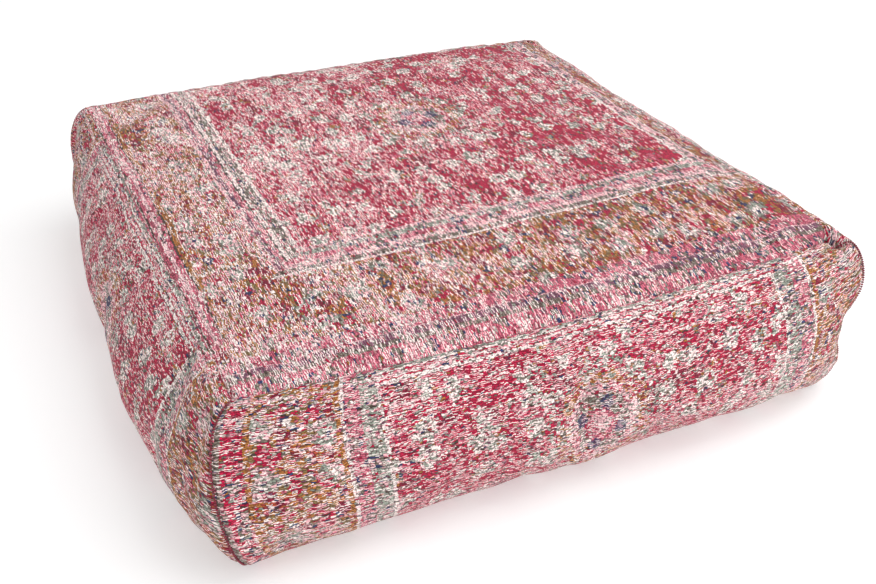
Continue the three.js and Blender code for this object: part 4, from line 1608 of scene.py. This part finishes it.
@dataclass
class Zip:
    """The zip across the back wall: tapes, coil teeth, stops, stitching, slider and pull.

    Attributes:
        tooth_pitch: Distance from tooth to tooth in millimetres.
        stitch_pitch: Distance from stitch to stitch of the rows that hold the tapes.
    """

    tooth_pitch: float = 1.7
    stitch_pitch: float = 3.4

    def build(self) -> None:
        """Makes every piece of the zip."""
        # Woven polyester tape: matt grey-brown, much finer than the cover.
        tape = PlainWeave("#A39687", "#6E6459", 0.8, 0.12).material("zip_tape")
        # Nylon coil: slightly translucent, with a soft gloss.
        nylon = Nylon("#A89A8A").material("nylon_coil")
        # Zip metal in antique brass: warm and dull, bright where it is rubbed.
        brass = AntiqueBrass("#B8975A", "#5C4526").material("antique_brass")
        # Finer spun thread for the tapes.
        thread = SpunThread("#8C2C42", 1.2).material("zip_thread")
        for name in ("upper", "lower"):
            self._tape(f"zip_tape_{name}", tape)
            self._teeth(f"zip_teeth_{name}", nylon, 1 if name == "upper" else -1)
            self._stitching(f"zip_stitch_{name}", thread)
        for name in ("zip_stop_closed", "zip_stop_open"):
            self._stop(name, brass)
        self._slider(brass)
        self._pull(brass)

    def _plate(self, low: Vector, high: Vector, round_by: float, cuts: int = 2) -> BMesh:
        """A box between two corners with its edges rounded.

        Args:
            low: Its lowest corner in metres.
            high: Its highest corner.
            round_by: The rounding's radius.
            cuts: Segments of the rounding.

        Returns:
            The shape.
        """
        bm = bmesh.new()
        place = Matrix.Translation((low + high) / 2) @ Matrix.Diagonal((*(high - low), 1.0))
        bmesh.ops.create_cube(bm, size=1.0, matrix=place)
        bmesh.ops.bevel(bm, geom=bm.edges[:], offset=round_by, offset_type="OFFSET", segments=cuts,
                        profile=0.5, affect="EDGES", material=-1, clamp_overlap=True)
        return bm

    def _tape(self, name: str, cloth: Material) -> None:
        """One tape, with the thicker cord along its inner edge."""
        low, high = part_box(name)
        bm = self._plate(low, high, 0.0002)
        inner = low.z if "upper" in name else high.z
        toward = 1 if "upper" in name else -1
        cord = Vector((0, high.y - 0.0001, inner + toward * 0.0045))
        place = Matrix.Translation(cord) @ Matrix.Rotation(math.pi / 2, 4, "Y")
        bmesh.ops.create_cone(bm, cap_ends=True, segments=8, radius1=0.00035, radius2=0.00035,
                              depth=high.x - low.x - 0.001, matrix=place)
        finish_piece(object_from(bm, name), name, "cushion", cloth)

    def _teeth(self, name: str, nylon: Material, side: int) -> None:
        """One half of the coil: a flattened bead of nylon for each tooth."""
        low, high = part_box(name)
        middle = (low + high) / 2
        size = high - low
        count = int(size.x / (self.tooth_pitch * MM))
        start = 0.25 if side > 0 else 0.75
        places = [Matrix.Translation((low.x + (number + start) * self.tooth_pitch * MM, middle.y, middle.z))
                  @ Matrix.Diagonal((0.00042, size.y / 2, size.z / 2, 1.0)) for number in range(count)]
        finish_piece(object_from(repeat(bead(6, 6), places), name), name, "cushion", nylon)

    def _stitching(self, name: str, thread: Material) -> None:
        """The row of stitches that holds one tape, half sunk in the cloth."""
        low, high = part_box(name)
        middle = (low + high) / 2
        count = int((high.x - low.x) / (self.stitch_pitch * MM))
        size = Matrix.Diagonal((self.stitch_pitch * MM * 0.42, 0.00045, 0.00045, 1.0))
        turn = Matrix.Rotation(math.pi / 2, 4, "Y")
        pitch, depth = self.stitch_pitch * MM, middle.y - 0.0005
        places = [Matrix.Translation((low.x + (number + 0.5) * pitch, depth, middle.z)) @ size @ turn
                  for number in range(count)]
        finish_piece(object_from(repeat(bead(6, 5), places), name), name, "cushion", thread)

    def _stop(self, name: str, brass: Material) -> None:
        """A stop: a staple of metal pinched over both rows of teeth."""
        low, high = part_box(name)
        finish_piece(object_from(self._plate(low, high, 0.0007, 3), name), name, "cushion", brass)

    def _slider(self, brass: Material) -> None:
        """The slider: two plates, side walls, the neck between them, and the ears with their pin."""
        low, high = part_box("zip_slider")
        middle = (low + high) / 2
        plate = high.y - 0.00465
        bm = bmesh.new()
        parts = (
            ((low.x, plate - 0.0011, low.z), (high.x, plate, high.z), 0.0005),
            ((low.x, low.y, low.z), (high.x, low.y + 0.0011, high.z), 0.0004),
            ((low.x, low.y + 0.0025, high.z - 0.0014), (high.x, plate - 0.0003, high.z), 0.0004),
            ((low.x, low.y + 0.0025, low.z), (high.x, plate - 0.0003, low.z + 0.0014), 0.0004),
            ((middle.x - 0.0025, low.y + 0.0006, middle.z - 0.0004),
             (middle.x + 0.0025, plate - 0.0004, middle.z + 0.0004), 0.0001),
            ((middle.x - 0.0016, plate - 0.0006, middle.z + 0.0026),
             (middle.x + 0.0016, high.y, middle.z + 0.0038), 0.0005),
            ((middle.x - 0.0016, plate - 0.0006, middle.z - 0.0038),
             (middle.x + 0.0016, high.y, middle.z - 0.0026), 0.0005),
        )
        for start, end, round_by in parts:
            repeat(self._plate(Vector(start), Vector(end), round_by, 3), [Matrix.Identity(4)], bm)
        pin = Matrix.Translation((middle.x, high.y - 0.0015, middle.z))
        bmesh.ops.create_cone(bm, cap_ends=True, segments=20, radius1=0.0007, radius2=0.0007, depth=0.0064,
                              matrix=pin)
        finish_piece(object_from(bm, "zip_slider"), "zip_slider", "slider", brass)

    def _pull(self, brass: Material) -> None:
        """The pull: an eye round the pin and a tab with a raised rim."""
        low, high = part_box("zip_pull")
        pivot = Vector((high.x - 0.0017, (low.y + high.y) / 2, (low.z + high.z) / 2))
        bm = bmesh.new()
        ring = bmesh.ops.create_cone(bm, cap_ends=False, segments=28, radius1=0.0017, radius2=0.0017, depth=0.0042,
                                     matrix=Matrix.Translation(pivot))["verts"]
        hole = bmesh.ops.create_cone(bm, cap_ends=False, segments=28, radius1=0.001, radius2=0.001, depth=0.0042,
                                     matrix=Matrix.Translation(pivot))["verts"]
        rims = [e for v in ring + hole for e in v.link_edges if len(e.link_faces) == 1]
        for height in (-0.0021, 0.0021):
            loop = {e for e in rims if all(abs(v.co.z - pivot.z - height) < 1e-5 for v in e.verts)}
            bmesh.ops.bridge_loops(bm, edges=list(loop))
        bmesh.ops.recalc_face_normals(bm, faces=bm.faces[:])
        tip = low.x + 0.0036
        outline = [(pivot.x - 0.0014, 0.0019), (pivot.x - 0.0062, 0.0019), (pivot.x - 0.0072, 0.0026)]
        outline += [(tip + 0.001, 0.0036)]
        outline += [(tip - 0.0036 * math.sin(a), 0.0036 * math.cos(a)) for a in np.linspace(0.1, math.pi / 2, 9)]
        outline += [(x, -z) for x, z in outline[-2::-1]]
        verts = [bm.verts.new((x, pivot.y - 0.0006, pivot.z + z)) for x, z in outline]
        face = bm.faces.new(verts)
        risen = bmesh.ops.extrude_face_region(bm, geom=[face])["geom"]
        upper = [v for v in risen if isinstance(v, bmesh.types.BMVert)]
        bmesh.ops.translate(bm, verts=upper, vec=(0, 0.0012, 0))
        top = next(f for f in risen if isinstance(f, bmesh.types.BMFace))
        bmesh.ops.inset_region(bm, faces=[top], thickness=0.0006, depth=0.0)
        bmesh.ops.translate(bm, verts=list(top.verts), vec=(0, -0.0002, 0))
        bmesh.ops.recalc_face_normals(bm, faces=bm.faces[:])
        finish_piece(object_from(bm, "zip_pull", smooth=False), "zip_pull", "pull", brass)


# ---- The inner bag --------------------------------------------------------------------------------------


@dataclass
class InnerBag:
    """The cotton bag inside the cover and the loose filling in it.

    Attributes:
        form: The stuffed shape that both lie inside.
        bag_depth: How far the bag lies below the cover's surface, in millimetres.
        fill_depth: How far the filling does.
        step: Spacing of the bag's grid.
    """

    form: CushionForm
    bag_depth: float = 10.0
    fill_depth: float = 14.0
    step: float = 18.0

    def build(self) -> None:
        """Makes the six sheets of the bag and the filling."""
        # Plain cotton sheeting: off-white, matt and thin, with a fine even weave.
        cotton = PlainWeave("#EFE9DC", "#C4BBA8", 0.9, 0.15).material("plain_cotton")
        count = round(2 * self.form.seam_half / self.step)
        line = np.linspace(-1, 1, count + 1)
        tall = np.linspace(0, 1, round(self.form.wall_length / self.step) + 1)
        inset = line * (1 - 1.5 / self.form.seam_half)
        rows = 0.008 + tall * 0.984
        self._sheet("bag_top", self.form.top(inset, inset), cotton)
        self._sheet("bag_bottom", self.form.base(inset, inset)[:, ::-1], cotton)
        for side in Side:
            places = self.form.wall_by_length(side, inset, rows)[:, ::-1]
            self._sheet(f"bag_wall_{side.name.lower()}", places, cotton)
        self._filling(line, tall)

    def _sheet(self, name: str, places: np.ndarray, cotton: Material) -> None:
        """One sheet of the bag.

        Args:
            name: The piece's name, which is also its CAD node's.
            places: The grid's points on the cover's surface in millimetres.
            cotton: The material.
        """
        bm = bmesh.new()
        add_grid(bm, self.form.sink(places, self.bag_depth))
        piece = object_from(bm, name)
        thicken(piece, 0.0007)
        subdivide(piece)
        finish_piece(piece, name, "cushion", cotton)

    def _filling(self, line: np.ndarray, tall: np.ndarray) -> None:
        """The filling: one closed, lumpy mass.

        Args:
            line: The grid's lines across the cushion, from -1 to 1.
            tall: The grid's lines down a wall, from 0 to 1.
        """
        bm = bmesh.new()
        for places in (self.form.top(line, line), self.form.base(line, line)[:, ::-1],
                       *(self.form.wall_by_length(side, line, tall)[:, ::-1] for side in Side)):
            add_grid(bm, self.form.sink(places, self.fill_depth))
        close_up(bm)
        bmesh.ops.smooth_vert(bm, verts=bm.verts[:], factor=0.5, use_axis_x=True, use_axis_y=True, use_axis_z=True)
        piece = object_from(bm, "filling")
        subdivide(piece)
        settle(piece)
        points = points_of(piece.data)
        points -= normals_of(piece.data) * ((1.3 + ripple(points, 0.028, 21))[:, None] * 0.0011)
        move_points(piece.data, points)
        # Carded polyester fibre: white, matt and tangled.
        fibre = LooseFibre("#F5F2EB", "#D9D3C6").material("loose_fibre")
        finish_piece(piece, "filling", "cushion", fibre)


# ---- The studio -----------------------------------------------------------------------------------------


@dataclass
class Studio:
    """A plain pale floor, soft lights and the camera.

    Attributes:
        eye: The camera's place in metres.
        azimuth: Degrees round the cushion, 0 looking along +Y.
        elevation: Degrees above the horizon.
        lens: Focal length in millimetres on a 36 mm sensor.
        shift: The lens's shift as shares of the picture's width.
    """

    eye: tuple[float, float, float] = (-0.4726, -1.031, 0.7183)
    azimuth: float = -22.384
    elevation: float = 31.577
    lens: float = 48.39
    shift: tuple[float, float] = (0.0678, -0.0168)

    def build(self) -> None:
        """Sets up the floor, the lights and the camera."""
        scene = bpy.context.scene
        scene.view_settings.view_transform = "Standard"
        world = bpy.data.worlds.new("studio")
        scene.world = world
        world.use_nodes = True
        world.node_tree.nodes["Background"].inputs[0].default_value = linear("#FFFFFF")
        world.node_tree.nodes["Background"].inputs[1].default_value = 0.7
        self._floor()
        self._light("key", (0.9, -0.3, 2.2), (0, 0, 0), 1.8, 24)
        self._light("front", (1.35, -1.75, 1.05), (0, 0, 0.05), 1.5, 13)
        self._camera(scene)

    def _floor(self) -> None:
        """The floor: a wide pale sheet."""
        bm = bmesh.new()
        bmesh.ops.create_grid(bm, x_segments=1, y_segments=1, size=6.0)
        floor = object_from(bm, "floor", smooth=False)
        paint = bpy.data.materials.new("pale_floor")
        paint.use_nodes = True
        shader = paint.node_tree.nodes["Principled BSDF"]
        shader.inputs["Base Color"].default_value = linear("#DEDEDE")
        shader.inputs["Roughness"].default_value = 0.8
        shader.inputs["Emission Color"].default_value = linear("#FFFFFF")
        shader.inputs["Emission Strength"].default_value = 0.35
        floor.data.materials.append(paint)

    def _light(self, name: str, place: tuple, target: tuple, size: float, power: float) -> None:
        """A square soft light.

        Args:
            name: Its name.
            place: Where it stands, in metres.
            target: What it points at.
            size: Its side in metres.
            power: Watts.
        """
        data = bpy.data.lights.new(name, "AREA")
        data.size, data.energy = size, power
        light = bpy.data.objects.new(name, data)
        light.location = place
        light.rotation_euler = (Vector(target) - Vector(place)).to_track_quat("-Z", "Y").to_euler()
        bpy.context.scene.collection.objects.link(light)

    def _camera(self, scene: bpy.types.Scene) -> None:
        """The camera, at the height and angle of someone looking down at the cushion."""
        data = bpy.data.cameras.new("camera")
        data.lens, data.sensor_width = self.lens, 36.0
        data.shift_x, data.shift_y = self.shift
        camera = bpy.data.objects.new("camera", data)
        a, e = math.radians(self.azimuth), math.radians(self.elevation)
        back = Vector((math.sin(a) * math.cos(e), -math.cos(a) * math.cos(e), math.sin(e)))
        camera.location = self.eye
        camera.rotation_mode = "QUATERNION"
        camera.rotation_quaternion = (-back).to_track_quat("-Z", "Y")
        scene.collection.objects.link(camera)
        scene.camera = camera


def main() -> None:
    """Builds the cushion and its studio."""
    logging.basicConfig(level=logging.INFO, format="%(name)s: %(message)s")
    form = CushionForm()
    Studio().build()
    skin = Skin(form)
    skin.build()
    cover = Cover(skin)
    cover.build()
    Seams(form, cover).build()
    Zip().build()
    InnerBag(form).build()


if __name__ == "__main__":
    main()
